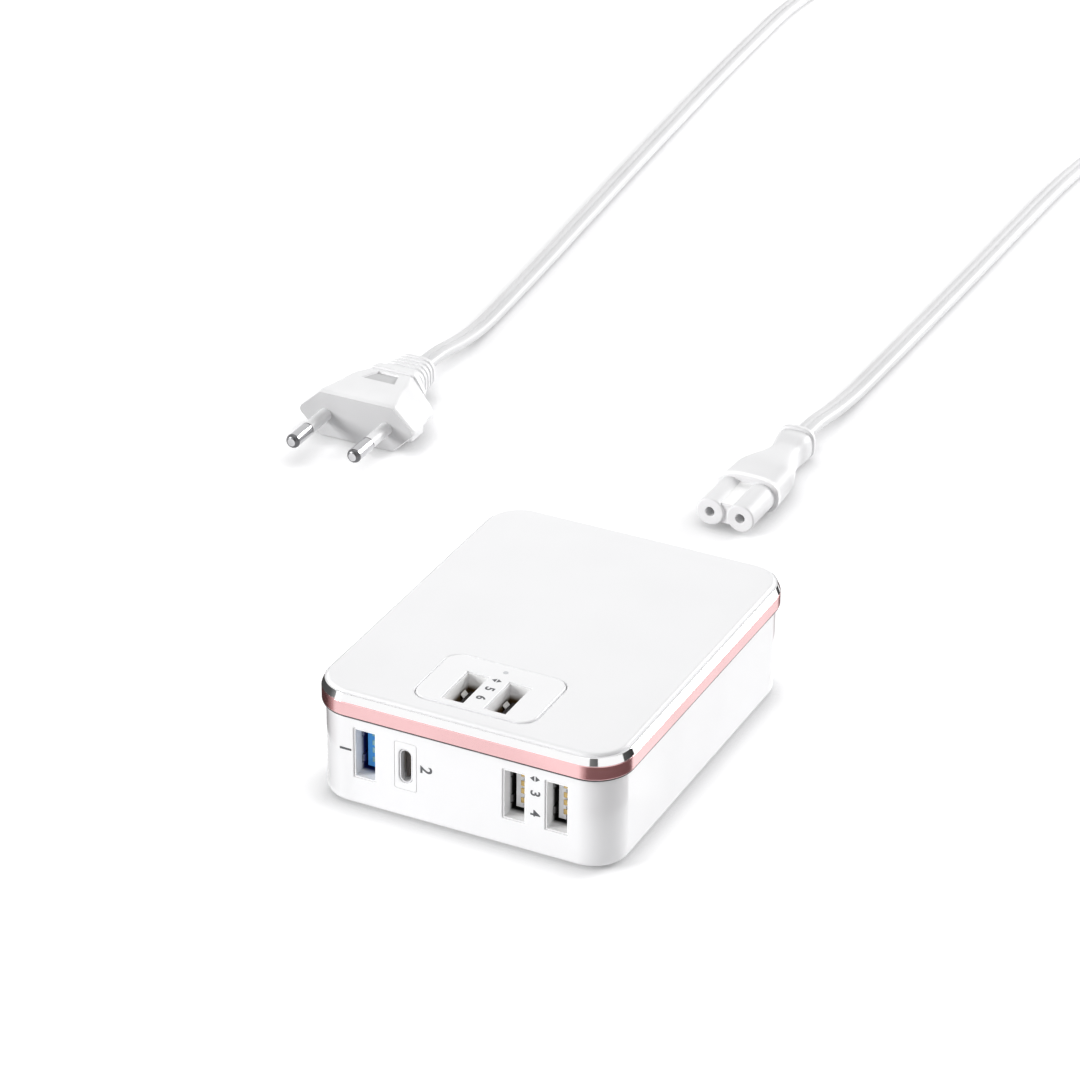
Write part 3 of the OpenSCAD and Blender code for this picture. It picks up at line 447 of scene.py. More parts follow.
class BlockSizes(bpy.types.PropertyGroup):
    """Sizes of the charging block"""
    corner_round: length("Corner radius", "Radius of the accent band's corners", 9.9)
    wall: length("Wall", "Wall of the lower case", 2.0)
    floor: length("Floor", "Floor of the lower case", 2.0)
    bottom_round: length("Bottom round", "Round along the lower case's bottom edge", 1.5)
    edge_round: length("Edge round", "Small round along the moulded edges", 0.3)
    mouth_round: length("Mouth round", "Round along the edges of the socket openings", 0.25)
    trim_lean: length("Trim lean", "How far the trim ring's bevel leans in", 0.75)
    trim_width: length("Trim width", "Width of the trim ring at its foot", 1.55)
    groove: length("Groove", "Groove between the trim ring and the top plate", 0.4)
    plate_round: length("Plate round", "Round along the top plate's upper edge", 0.85)
    panel_corner: length("Panel corner", "Corner radius of the top port panel", 4.0)
    numeral: length("Numeral height", "Height of the port numerals", 2.4)


class LeadSizes(bpy.types.PropertyGroup):
    """Sizes of the mains lead"""
    cord_width: length("Cord width", "Width of the flat twin cord", 5.4)
    cord_thick: length("Cord thickness", "Thickness of the flat twin cord", 3.2)
    cord_groove: length("Cord groove", "Depth of the groove between the two cores", 0.35)
    coil_radius: length("Coil radius", "Radius of the coil at the middle of its turns", 31.0)
    lobe: length("Lobe radius", "Radius of each lobe of the connector's nose", 3.85)
    pitch: length("Hole pitch", "Distance between the connector's two holes", 8.6)
    hole: length("Hole radius", "Radius of the connector's holes", 1.3)
    plug_pitch: length("Pin pitch", "Distance between the plug's pins", 18.6)
    ribs: IntProperty(name="Relief ribs", description="Ribs of the plug's strain relief",
        default=6, min=3, max=9)


class FinishColours(bpy.types.PropertyGroup):
    """Colours of the visible finishes"""
    case: shade("Case", "Gloss white of the lower case", (250, 250, 251))
    band: shade("Band", "Rose of the accent band", (252, 205, 206))
    plate: shade("Plate", "Satin white of the top plate", (243, 243, 244))
    lead: shade("Lead", "White of the cord, the connector and the plug", (240, 240, 241))
    tongue: shade("Blue tongue", "Blue of the first socket's tongue", (76, 172, 255))


def mm(value):
    """A length property in millimetres."""
    return value / MM


def rgb(value):
    """A colour property as values from 0 to 255."""
    return tuple(255 * c for c in value)


def dimmed(value, share):
    """A colour property as values from 0 to 255, times a share."""
    return tuple(share * c for c in rgb(value))


# The lead's route, in millimetres, as the CAD solids lie

CONNECTOR_ROUTE = [
    (-5.6, 161.2, 5), (-5.6, 172, 4.6), (-5.4, 184, 3), (-5.2, 198, 1.8), (-5, 215, 1.6),
    (-4.6, 250, 1.6), (-4.3, 290, 1.6), (-4.2, 330, 1.6), (-3.6, 365, 1.6), (-1, 390, 1.6),
    (7, 409, 1.6), (20, 424, 1.6), (36, 436, 1.6), (49.5, 449, 1.9), (56, 463, 2.6)]
PLUG_ROUTE = [
    (-10, 518, 4.5), (-36, 527, 1.8), (-62, 532, 1.6), (-88, 531, 1.6), (-110, 522, 1.6),
    (-126, 506, 1.6), (-135, 484, 1.6), (-137.4, 460, 1.6), (-136.2, 430, 1.6),
    (-133.6, 390, 1.6), (-130.4, 350, 1.6), (-127, 310, 1.6), (-123.4, 270, 1.6),
    (-120.2, 235, 1.6), (-117.4, 200, 1.6), (-116.4, 185, 2.1), (-115.6, 172, 4),
    (-115.1, 160, 6.2), (-115, 147.2, 6.85)]
COIL_CENTRE = (20.0, 478.0)
COIL_TURN = 1170.0
COIL_GAP = 0.2
STRAP = 0.6
STRAP_FROM, STRAP_SPAN = -120.0, 16.0


def coil_points(w, t, radius):
    """The coil: a circle that is wound on edge. The distance from its centre eases between
    the outer and the inner lay, and its height from the lower row to the upper one."""
    turn = np.arange(0, COIL_TURN + 1, 15.0)
    lay = (t + COIL_GAP) / 2
    touch = radius + t + w / 2 + 0.15
    out, inner = radius + lay, radius - lay
    r = eased([(0, touch), (60, out), (360, out), (420, inner), (960, inner), (1020, out),
        (1110, out), (COIL_TURN, touch)], turn)
    low, high = STRAP + w / 2, STRAP + 1.5 * w + COIL_GAP
    z = eased([(0, low), (660, low), (720, high), (COIL_TURN, high)], turn)
    a = np.radians(turn)
    return np.stack([COIL_CENTRE[0] + r * np.cos(a), COIL_CENTRE[1] + r * np.sin(a), z], 1)


def lead_line(sizes):
    """The cord's centreline, its twist and the length gone at each point: the cord lies
    level on the runs and on edge in the coil."""
    w, t = mm(sizes.cord_width), mm(sizes.cord_thick)
    coil = coil_points(w, t, mm(sizes.coil_radius))
    steps, ease_in = 6, 70
    line = through(np.concatenate([CONNECTOR_ROUTE, coil, PLUG_ROUTE]), steps)
    gone = np.concatenate([[0], np.cumsum(np.linalg.norm(np.diff(line, axis=0), axis=1))])
    first = gone[len(CONNECTOR_ROUTE) * steps]
    last = gone[(len(CONNECTOR_ROUTE) + len(coil) - 1) * steps]
    twist = np.pi / 2 * ease((gone - first + ease_in) / ease_in) \
        * ease((last + ease_in - gone) / ease_in)
    line[:, 2] = np.maximum(line[:, 2], t / 2 + (w - t) / 2 * np.sin(twist))
    return line, twist, gone


def cord_section(w, t, groove):
    """Flat twin cord: two half circles joined by straight sides. A smooth dip, a squared
    cosine across the middle, runs along both sides between the cores."""
    r, reach, dip_half = t / 2, (w - t) / 2, 0.95
    turn = np.radians(np.linspace(-90, 90, 15))
    cap = np.stack([reach + r * np.cos(turn), r * np.sin(turn)], 1)
    x = np.linspace(reach, -reach, 14)[1:-1]
    dip = groove * np.cos(np.clip(x / dip_half, -1, 1) * np.pi / 2) ** 2
    side = np.stack([x, r - dip], 1)
    return np.concatenate([cap, side, -cap, -side])


def cord_piece(sizes, material):
    """The cord: its section is carried along the line, level but for the twist. Each point
    keeps its length along the cord and its place in the section, for the material."""
    line, twist, gone = lead_line(sizes)
    section = cord_section(mm(sizes.cord_width), mm(sizes.cord_thick), mm(sizes.cord_groove))
    ahead = unit(np.gradient(line, axis=0))
    side = unit(np.stack([ahead[:, 1], -ahead[:, 0], np.zeros(len(line))], 1))
    up = np.cross(side, ahead)
    c, s = np.cos(twist)[:, None], np.sin(twist)[:, None]
    across, thick = (side * c + up * s)[:, None], (up * c - side * s)[:, None]
    skin = Skin()
    skin.grid(line[:, None] + section[:, :1] * across + section[:, 1:] * thick)
    rows, cols = len(line), len(section)
    skin.faces += [list(range(cols)), list(range((rows - 1) * cols, rows * cols))]
    piece = skin.make("mains_cord", sharp=60)
    if len(piece.data.vertices) != rows * cols:
        raise RuntimeError("the cord's rings were merged")
    lay = np.concatenate([np.repeat(gone, cols)[:, None], np.tile(section, (rows, 1))], 1)
    store = piece.data.attributes.new("lay", "FLOAT_VECTOR", "POINT")
    store.data.foreach_set("vector", (lay * MM).ravel())
    stands_for(piece, ["cord_connector_side", "cord_plug_side", "cord_coil"],
        material)
    return piece, line, gone[-1]


def strap_piece(sizes, material):
    """The coil's strap: a rounded ring of the bundle's outline, carried over a short arc,
    out along its outside and back along its inside."""
    w, t = mm(sizes.cord_width), mm(sizes.cord_thick)
    wide, tall = 2 * t + COIL_GAP, 2 * w + COIL_GAP
    corner, edge = 1.2, STRAP - 0.25
    across = np.concatenate([np.linspace(0, 1, 9), np.linspace(1, 0, 9), [0]])
    grow = np.concatenate([[edge], np.full(7, STRAP), [edge], [0.02] * 9, [edge]])
    ring = carried(rim(wide, tall, corner, 6), np.stack([corner + grow, across], 1))
    turn = np.radians(STRAP_FROM + STRAP_SPAN * ring[..., 2])
    r = mm(sizes.coil_radius) + ring[..., 0]
    skin = Skin()
    skin.grid(np.stack([COIL_CENTRE[0] + r * np.cos(turn), COIL_CENTRE[1] + r * np.sin(turn),
        STRAP + tall / 2 + ring[..., 1]], -1))
    return stands_for(skin.make("coil_tie"), ["coil_strap"], material)


# The connector and the plug

CONNECTOR = (-5.6, 111.7, 5.0)
NOSE = 14.0
BORE = 11.0
BRIDGE_SINK, STRIP_SINK = 0.95, 0.8
GRIP = 36.0
# The grip's widths and heights at distances behind its front edge
GRIP_WIDTHS = [(0, 17.2), (0.4, 18), (1.7, 18), (2.3, 17.4), (10, 16.8), (25.5, 8.6), (30.5, 9.8),
    (32.6, 9.9), (33.1, 10.6), (34.2, 10.5), (34.8, 9.4), (36, 5.8)]
GRIP_HEIGHTS = [(0, 9.2), (0.4, 10), (1.7, 10), (2.3, 9.5), (10, 9.4), (25.5, 7.7), (30.5, 8.7),
    (32.6, 8.8), (33.1, 9.5), (34.2, 9.4), (34.8, 8.4), (36, 4.8)]


def connector_piece(sizes, material, bright):
    """The two-hole connector: two round lobes with softened ends and bores, a flat bridge
    between them, and a grip whose rings are rounded squares, their half width and height
    times the cosine and sine to the power two thirds. A faint seam runs round the grip."""
    skin = Skin()
    pitch, lobe, hole = mm(sizes.pitch), mm(sizes.lobe), mm(sizes.hole)
    root = NOSE + 1
    for sign in (-1, 1):
        at = np.array(CONNECTOR) + sign * pitch / 2 * X
        profile = softened([(lobe - 0.6, 0), (lobe, 0), (lobe, root)], (0.45,))
        wall = placed(carried(disc_rim(56), profile), at, X, Z, Y)
        skin.grid(wall)
        front, back = opening(skin, disc_rim(32), hole, at, X, Z, Y, BORE, 0.2)
        skin.cap(back)
        skin.cap(wall[0], front)
        skin.cap(wall[-1])
    between = rim(pitch - 2 * hole - 1, 2 * (lobe - BRIDGE_SINK), 0.3, 4)
    profile = softened([(0.1, 0.9), (0.3, 0.9), (0.3, root)], (0.15,), 3)
    skin.closed(placed(carried(between, profile), CONNECTOR, X, Z, Y))
    s = np.concatenate([np.linspace(0, 2, 15), np.linspace(2.5, 32, 44),
        np.linspace(32.4, 35, 14), [35.3, 35.6, 35.8, GRIP]])[:, None]
    w, h = eased(GRIP_WIDTHS, s), eased(GRIP_HEIGHTS, s)
    a = (np.arange(72) * 2 * np.pi / 72)[None]
    x, z = (np.sign(v) * np.abs(v) ** (2 / 3) * size / 2 for v, size in
        ((np.cos(a), w), (np.sin(a), h)))
    seam = 0.12 * np.exp(-(z / 0.35) ** 2) * np.clip(1 - s / 27, 0, 1) ** 0.5
    x = x + np.sign(x) * seam
    y = CONNECTOR[1] + NOSE + s
    skin.closed(np.stack([CONNECTOR[0] + x, np.broadcast_to(y, x.shape), h / 2 + z], -1))
    piece = stands_for(skin.make("lead_connector", sharp=45), ["connector_body"],
        material)
    # The bridge and the ridge take a paler white as a painted highlight
    return second_finish(piece, bright, painted_highlight_faces)


def painted_highlight_faces(centre, normal):
    """The connector's bridge and the ridge round the front of its grip, which take a painted
    highlight.
    """
    x, y = (centre - CONNECTOR).T[:2]
    bridge = (np.abs(x) < 2) & (normal[:, 2] > 0.9) & (y > 0) & (y < NOSE)
    return bridge | ((y > NOSE + 0.3) & (y < NOSE + 2.0) & (normal[:, 2] > -0.2))


PLUG = (-115.0, 111.5, 6.85)
PLUG_HALF, PLUG_TOP = 17.65, 11.35
# Shares of the half width, of its flat top and of the half height behind the pin face
PLUG_SIDES = [(0, 1), (12.5, 0.94), (24.5, 0.47)]
PLUG_TOPS = [(0, 1), (12.5, 17 / 22.7), (24.5, 11.4 / 22.7)]
PLUG_HEIGHTS = [(0, 1), (12.5, 0.98), (24.5, 0.8)]
PLUG_LONG = 24.5
COLLAR, COLLAR_END = 20.9, 24.1
RECESS, RECESS_HALF, RECESS_DEEP = (12.7, 19.0), (5.1, 3.06), 0.5
RELIEF = 12.0
SLEEVE, SLEEVE_R = 10.0, 1.8
PIN_R, PIN_END = 2.0, 19.0


def plug_rings(s):
    """Rings of the plug's body at distances behind its face: a hexagon whose corners give
    way to arcs. Gives its side arcs, its upper corner arcs, and where its flat top ends."""
    e = np.minimum(1, (s + 0.5) / 1.5)
    collar = 0.5 * ease((s - COLLAR) / 0.45) - 0.35 * ease((s - COLLAR_END) / 0.4)
    wide = eased(PLUG_SIDES, s) * PLUG_HALF - 0.6 * (1 - e) + collar
    top = eased(PLUG_TOPS, s) * PLUG_TOP - 0.3 * (1 - e) + collar
    h = eased(PLUG_HEIGHTS, s) * PLUG[2] - 0.6 * (1 - e) + collar
    r = 1.6
    slope = np.arctan2(h, wide - top)[:, None]
    flat = np.pi / 2 - slope
    turn = np.linspace(0, 1, 9)[None]
    # The side's arc turns from the lower slope's direction to the upper one's
    a = flat * (2 * turn - 1)
    nose = np.stack([wide[:, None] - r + r * np.cos(a), r * np.sin(a)], -1)
    # The upper corner's arc turns from the slope's direction to straight up
    b = flat + slope * turn
    mid = top - r / np.tan((np.pi - slope[:, 0]) / 2)
    upper = np.stack([mid[:, None] + r * np.cos(b), (h - r)[:, None] + r * np.sin(b)], -1)
    return nose, upper, mid, h


def recess_edge(s):
    """Half the width of the recess in the plug's top, at distances behind the face."""
    return np.interp(s, RECESS, RECESS_HALF)


def plug_piece(sizes, material, matt):
    """The plug's body and its ribbed relief in one piece. The rings stand close together
    where the recess and the collar begin and end."""
    start, end = RECESS
    s = np.unique(np.concatenate([[0, 0.2, 0.5, 1.0], np.linspace(1.5, start - 0.3, 16),
        [start - 0.1, start + 0.1], np.linspace(start + 0.5, end - 0.3, 10),
        [end - 0.1, end + 0.1], np.linspace(end + 0.5, COLLAR - 0.1, 4),
        np.linspace(COLLAR, COLLAR + 0.5, 7), np.linspace(COLLAR + 0.9, COLLAR_END - 0.1, 6),
        np.linspace(COLLAR_END, PLUG_LONG, 5)]))
    nose, upper, mid, h = plug_rings(s)
    # Columns across the top: from its corner in to the recess's side, over it, to the middle
    edge = recess_edge(s)[:, None]
    outer = edge + 0.12 + (mid[:, None] - edge - 0.12) * np.array([[0.66, 0.33, 0]])
    inner = np.concatenate([(edge - 0.12) * np.array([[1, 0.66, 0.33]]), 0 * edge], 1)
    x = np.concatenate([outer, inner, -inner[:, -2::-1], -outer[:, ::-1]], 1)
    z = np.broadcast_to(h[:, None], x.shape)
    sunk = (np.abs(x) < edge) & (s[:, None] > start) & (s[:, None] < end)
    flip = np.array([-1, 1])
    ring = np.concatenate([
        nose, upper, np.stack([x, z - RECESS_DEEP * sunk], -1), (upper * flip)[:, ::-1],
        (nose * flip)[:, ::-1], -upper, np.stack([-x, -z], -1), (upper * -flip)[:, ::-1]], 1)
    body = placed(along(ring, s), PLUG, X, Z, Y)
    skin = Skin()
    skin.grid(body)
    pins = [opening(skin, disc_rim(32), 1.55, PLUG + k * mm(sizes.plug_pitch) / 2 * X,
        X, Z, Y, 1.2, 0.15) for k in (-1, 1)]
    skin.cap(body[0], *(front for front, _ in pins))
    for _, back in pins:
        skin.cap(back)
    skin.cap(body[-1])
    relief(skin, sizes.ribs)
    for k in (-1, 1):
        ledge(skin, k)
    piece = stands_for(skin.make("mains_plug", sharp=40), ["plug_body"], material)
    # The pin face and the recess floor take a matt grey that is painted shade
    return second_finish(piece, matt, painted_shade_faces)


def painted_shade_faces(centre, normal):
    """The plug's pin face and the floor of its recess, which take a painted shade."""
    x, y, z = (centre - PLUG).T
    front = (normal[:, 1] < -0.8) & (y < 1)
    floor = (normal[:, 2] > 0.8) & (z > 3) & (np.abs(x) < recess_edge(y) - 0.02)
    return front | (floor & (y > RECESS[0] + 0.05) & (y < RECESS[1] - 0.05))


def pin_painted_dark_faces(centre, normal):
    """The pins' rounded ends, less a small flat, and the ring where their metal begins: a painted
    dark reflection on the ends and painted shade at the ring.
    """
    ahead = PLUG[1] - centre[:, 1]
    tip = (ahead > PIN_END - 1.15) & (normal[:, 1] > -0.97)
    return tip | ((ahead > SLEEVE - 0.1) & (ahead < SLEEVE + 0.45))


def relief(skin, ribs):
    """The strain relief: a rounded rectangle that tapers, and is drawn in by a smooth
    groove before each rib."""
    buried, rings_per_mm = 1, 14
    s = np.linspace(-buried, RELIEF, 1 + int(buried + RELIEF) * rings_per_mm)
    t = np.clip(s / RELIEF, 0, 1)
    phase = (s * (ribs - 0.5) / RELIEF - 0.35) % 1
    rib = np.clip(np.minimum(phase, 1 - phase) * 6 - 0.35, 0, 1)
    grow = 0.8 * ease(rib) - 0.3 * ease((s - RELIEF + 0.5) / 0.5)
    w, h, r = 14.6 - 3.6 * t, 10 - 1.4 * t, 3.4
    sides, out = rim(2, 2, 0, 7)
    half = np.stack([w / 2 - r, h / 2 - r], -1)[:, None]
    flat = sides[None] * half + out[None] * (r - 0.8 + grow)[:, None, None]
    skin.closed(placed(along(flat, s), PLUG + PLUG_LONG * Y, X, Z, Y))


def ledge(skin, side):
    """A finger ledge low on the plug's flank, as a block with rounded edges."""
    mid = np.array([PLUG[0] + side * 0.72 * PLUG_HALF, PLUG[1] + 9, 2.1])
    profile = softened([(0.2, -0.9), (0.8, -0.9), (0.8, 0.9), (0.2, 0.9)], (0.3, 0.3), 3)
    skin.closed(placed(carried(rim(3, 7.5, 0.8, 6), profile), mid, X, Y, Z))


def pin_pieces(sizes, metal, end, plastic):
    """The plug's two pins and their sleeves, as turned profiles."""
    pins, sleeves = Skin(), Skin()
    foot, seam = SLEEVE + 0.1, SLEEVE + 0.5
    pin = softened([(0, -7.9), (1.45, -7.9), (1.45, foot), (PIN_R, foot), (PIN_R, seam),
        (PIN_R, PIN_END), (0, PIN_END)], (0, 0, 0.12, 0, 1.25))
    sleeve = softened_loop([(1.5, -1.0), (SLEEVE_R, -1.0), (SLEEVE_R, SLEEVE), (1.5, SLEEVE)],
        (0, 0, 0.15, 0), 4)
    for k in (-1, 1):
        at = PLUG + k * mm(sizes.plug_pitch) / 2 * X
        pins.grid(turned(pin, at, -Y, X))
        sleeves.grid(turned(sleeve, at, -Y, X))
    piece = stands_for(pins.make("plug_pin_pair"), ["plug_pins"], metal)
    # The ends and the ring take a darker metal: painted reflection and painted shade
    second_finish(piece, end, pin_painted_dark_faces)
    stands_for(sleeves.make("pin_sleeve_pair"), ["pin_sleeves"], plastic)


# The block

# Height of the dark strip of painted shadow under the band
SHADOW_STRIP_HEIGHT = 0.36
BEVEL_TOP, SHELF = 30.0, 29.5
PLATE_GAP = 0.2
FOOT = 4.4


def block_sizes(sizes):
    """Outer sizes of the block that several pieces share, from the accent band's box."""
    low, high = span("accent_band")
    return high[0] - low[0], high[1] - low[1], mm(sizes.corner_round)


def foot_places():
    """The middles of the four feet, on the ground."""
    reach = span("rubber_feet")[1] - FOOT
    return [reach * [sx, sy, 0] for sx in (-1, 1) for sy in (-1, 1)]


def case_piece(sizes, material):
    """The lower case: one profile, up the outside, over the rim and down the inside, is
    carried round a rounded rectangle. Flat caps with holes close its front, rear and floor."""
    low, high = span("lower_case")
    w, d = (high - low)[:2]
    r = mm(sizes.corner_round) - (block_sizes(sizes)[0] - w) / 2
    wall, soft = mm(sizes.wall), mm(sizes.edge_round)
    inside = low[2] + mm(sizes.floor)
    profile = softened([(r - 1.6, low[2]), (r, low[2]), (r, high[2]), (r - wall, high[2]),
        (r - wall, inside)], (mm(sizes.bottom_round), soft, soft))
    shell = carried(rim(w, d, r), profile)
    outer, inner = STEPS + 1, 3 * (STEPS + 1)
    rear, front = ARC, 3 * (ARC + 1) - 1
    skin = Skin()
    skin.grid(shell, left_out=[(row, col) for row in (outer, inner) for col in (rear, front)])
    mouth = mm(sizes.mouth_round)
    holes = {rear: [], front: []}
    # The openings: node, side, corner radius and edge round
    slots = [(f"socket_{n}_shell", front, 0.35, mouth) for n in FRONT_SOCKETS]
    slots += [("oval_insert", front, 0.7, 0.08), ("inlet_housing", rear, 1.2, mouth)]
    for name, col, corner, edge in slots:
        lo, hi = span(name)
        size = hi - lo + 2 * CLEAR
        way = 1 if col == front else -1
        at = ((lo + hi) / 2) * [1, 0, 1] + [0, -way * d / 2, 0]
        holes[col].append(opening(skin, rim(size[0], size[2], corner, 6), corner, at,
            X, Z, way * Y, wall, edge))
    for row in (outer, inner):
        for col in (rear, front):
            frame = [shell[row, col], shell[row, col + 1],
                shell[row + 1, col + 1], shell[row + 1, col]]
            skin.cap(np.array(frame), *(pair[0 if row == outer else 1] for pair in holes[col]))
    pockets = []
    deep = span("rubber_feet")[1][2] - low[2]
    for at in foot_places():
        mouth_loop, floor_loop = opening(skin, disc_rim(40), FOOT + CLEAR, at + low * Z,
            X, Y, Z, deep, 0.15)
        pockets.append(mouth_loop)
        skin.cap(floor_loop)
    skin.cap(shell[0], *pockets)
    skin.cap(shell[-1])
    return stands_for(skin.make("gloss_lower_case"), ["lower_case"], material)


def hoop(name, sizes, loop, arc):
    """A closed profile of (distance, height) carried round the block."""
    w, d, r = block_sizes(sizes)
    skin = Skin()
    skin.grid(carried(rim(w, d, r, arc), loop))
    return skin.make(name)


def band_piece(sizes, material):
    """The accent band, with rounded corners along its edges."""
    low, high = span("accent_band")
    r = mm(sizes.corner_round)
    inner, bottom = r - 2, low[2] + SHADOW_STRIP_HEIGHT
    loop = softened_loop([(r, bottom), (r, high[2]), (inner, high[2]), (inner, bottom)],
        (0.3, 0.15, 0.1, 0.1))
    return stands_for(hoop("rose_band", sizes, loop, 20), ["accent_band"], material)


def painted_shadow_strip_piece(sizes, material):
    """The dark line under the accent band, a painted shadow: a flat strip a little behind the
    band's face, dark grey where there is only the shade of the gap.
    """
    low, r = span("accent_band")[0][2], mm(sizes.corner_round)
    loop = softened_loop([(r - 0.2, low), (r - 0.2, low + SHADOW_STRIP_HEIGHT), (r - 1.9, low + SHADOW_STRIP_HEIGHT),
        (r - 1.9, low)], (0.06, 0.02, 0.02, 0.02), 3)
    return stands_for(hoop("painted_shadow_strip", sizes, loop, 20), [], material)


def trim_piece(sizes, material):
    """The bright ring, with a bevelled face and a shelf that the plate's lip rests on."""
    low, r = span("trim_ring")[0][2], mm(sizes.corner_round)
    edge, inner = r - mm(sizes.trim_lean), r - mm(sizes.trim_width)
    loop = softened_loop([(r, low), (edge, BEVEL_TOP), (edge - 0.17, BEVEL_TOP),
        (edge - 0.17, SHELF), (inner, SHELF), (inner, low)], (0.1, 0.07, 0.05, 0, 0, 0))
    return stands_for(hoop("bevelled_trim", sizes, loop, 28), ["trim_ring"],
        material)


def plate_piece(sizes, material):
    """The top plate: a rounded slab whose lip rests on the bright ring, with a full round
    along its upper edge and a window for the port panel."""
    low, high = span("top_plate")
    w, d, r = block_sizes(sizes)
    foot = r - mm(sizes.trim_width) - PLATE_GAP
    reach, lip = r - mm(sizes.trim_lean) - PLATE_GAP, SHELF + 0.04
    edge = reach - mm(sizes.groove)
    profile = softened([(foot, low[2]), (foot, lip), (reach, lip), (reach, lip + 0.45),
        (edge, lip + 0.45), (edge, high[2]), (edge - 1.4, high[2])],
        (0, 0.03, 0.03, 0.05, mm(sizes.plate_round)), 8)
    lo, hi = span("port_panel")
    corner = mm(sizes.panel_corner) + CLEAR
    window = rim(*(hi - lo)[:2] + 2 * CLEAR, corner, 12)
    at = (lo + hi) / 2 * [1, 1, 0] + high * Z
    skin = Skin()
    pierced(skin, carried(rim(w, d, r, 20), profile), -1,
        [(window, corner, at, X, Y, -Z, high[2] - low[2], 0.42)])
    return stands_for(skin.make("satin_top_plate"), ["top_plate"], material)


def panel_piece(sizes, material):
    """The port panel: a rounded slab with two socket openings and the light's hole."""
    low, high = span("port_panel")
    corner = mm(sizes.panel_corner)
    centre = (low + high) / 2 * [1, 1, 0]
    ledge = high[2] - 0.65
    profile = softened([(corner, low[2]), (corner, ledge), (corner - 0.22, ledge),
        (corner - 0.22, high[2]), (corner - 0.7, high[2])], (0.05, 0.05, 0.32))
    side = carried(rim(*(high - low)[:2], corner, 12), profile) + centre
    plan = []
    for n in TOP_SOCKETS:
        lo, hi = span(f"socket_{n}_shell")
        mouth = rim(*(hi - lo)[:2] + 2 * CLEAR, 0.35, 6)
        plan.append(((lo + hi) / 2, mouth, 0.35, mm(sizes.mouth_round)))
    plan.append((middle("light_pipe"), disc_rim(24), 0.65, 0.06))
    skin = Skin()
    pierced(skin, side, -1, [(outline, r, at * [1, 1, 0] + high * Z, X, Y, -Z,
        high[2] - low[2], soft) for at, outline, r, soft in plan])
    return stands_for(skin.make("white_port_panel"), ["port_panel"], material)


def insert_piece(material):
    """The insert round the small oval socket: a rounded block with an oval hole."""
    low, high = span("oval_insert")
    shell_low, shell_high = span("oval_shell")
    w, d, h = high - low
    at = (low + high) / 2 * [1, 0, 1] + [0, low[1], 0]
    corner = 0.6
    profile = softened([(corner - 0.3, 0), (corner, 0), (corner, d)], (0.08,), 3)
    short, tall = (shell_high - shell_low)[[0, 2]] + 2 * CLEAR
    skin = Skin()
    pierced(skin, placed(carried(rim(w, h, corner, 8), profile), at, X, Z, Y), 0,
        [(oval_rim(short, tall), short / 2, at, X, Z, Y, d, 0.3)])
    return stands_for(skin.make("oval_port_insert"), ["oval_insert"], material)


def lobed(r, pitch):
    """Two circles side by side, joined by a flat strip a little below their tops: each arc
    runs from the strip on one side of its lobe to the strip on the other."""
    stop = np.arcsin((r - STRIP_SINK) / r)
    turn = np.linspace(stop - np.pi, np.pi - stop, 26)
    arc = np.stack([pitch / 2 + r * np.cos(turn), r * np.sin(turn)], 1)
    return np.concatenate([arc, -arc])


def inlet_piece(material):
    """The mains inlet: a rounded block with a lobed recess and two pin holes in its floor."""
    low, high = span("inlet_housing")
    w, d, h = high - low
    at = (low + high) / 2 * [1, 0, 1] + [0, high[1], 0]
    corner, deep, lobe, pitch, soft = 1.1, 11.0, 4.15, 8.6, 0.3
    skin = Skin()
    profile = softened([(corner - 0.4, 0), (corner, 0), (corner, d)], (0.25,), 3)
    side = placed(carried(rim(w, h, corner, 6), profile), at, X, Z, -Y)
    skin.grid(side)
    # The recess's rings: wider by the edge round at the face, then straight back
    t = np.linspace(0, np.pi / 2, 5)
    grows = np.concatenate([soft * (1 - np.sin(t)), [0]])
    depths = np.concatenate([soft * (1 - np.cos(t)), [deep]])
    rings = along(np.stack([lobed(lobe + grow, pitch) for grow in grows]), depths)
    recess = placed(rings, at, X, Z, -Y)
    skin.grid(recess)
    skin.cap(side[0], recess[0])
    seats = [opening(skin, disc_rim(28), 1.55, at - deep * Y + k * pitch / 2 * X,
        X, Z, -Y, d - deep, 0.1) for k in (-1, 1)]
    skin.cap(recess[-1], *(front for front, _ in seats))
    skin.cap(side[-1], *(back for _, back in seats))
    return stands_for(skin.make("mains_inlet"), ["inlet_housing"], material)


def feet_piece(material):
    """The four rubber feet: a turned profile with a soft lower edge and a shallow dish."""
    top = span("rubber_feet")[1][2]
    profile = softened([(0, 0.12), (2.6, 0.12), (3.2, 0), (FOOT, 0), (FOOT, top), (0, top)],
        (0.3, 0.2, 0.35, 0.1), 3)
    skin = Skin()
    for at in foot_places():
        skin.grid(turned(profile, at, Z, X, 40))
    return stands_for(skin.make("soft_feet"), ["rubber_feet"], material)


def numeral(text, size):
    """A numeral's flat mesh, made from a text curve that is taken away again."""
    curve = bpy.data.curves.new("numeral", "FONT")
    curve.body, curve.align_x, curve.align_y = text, "CENTER", "CENTER"
    curve.size, curve.extrude, curve.offset = size, 0.02, 0.08
    maker = linked("numeral", curve)
    bpy.context.view_layer.update()
    seen = maker.evaluated_get(bpy.context.evaluated_depsgraph_get())
    flat = bpy.data.meshes.new_from_object(seen)
    points = [tuple(v.co) for v in flat.vertices]
    faces = [list(p.vertices) for p in flat.polygons]
    bpy.data.objects.remove(maker)
    bpy.data.curves.remove(curve)
    bpy.data.meshes.remove(flat)
    return np.array(points), faces


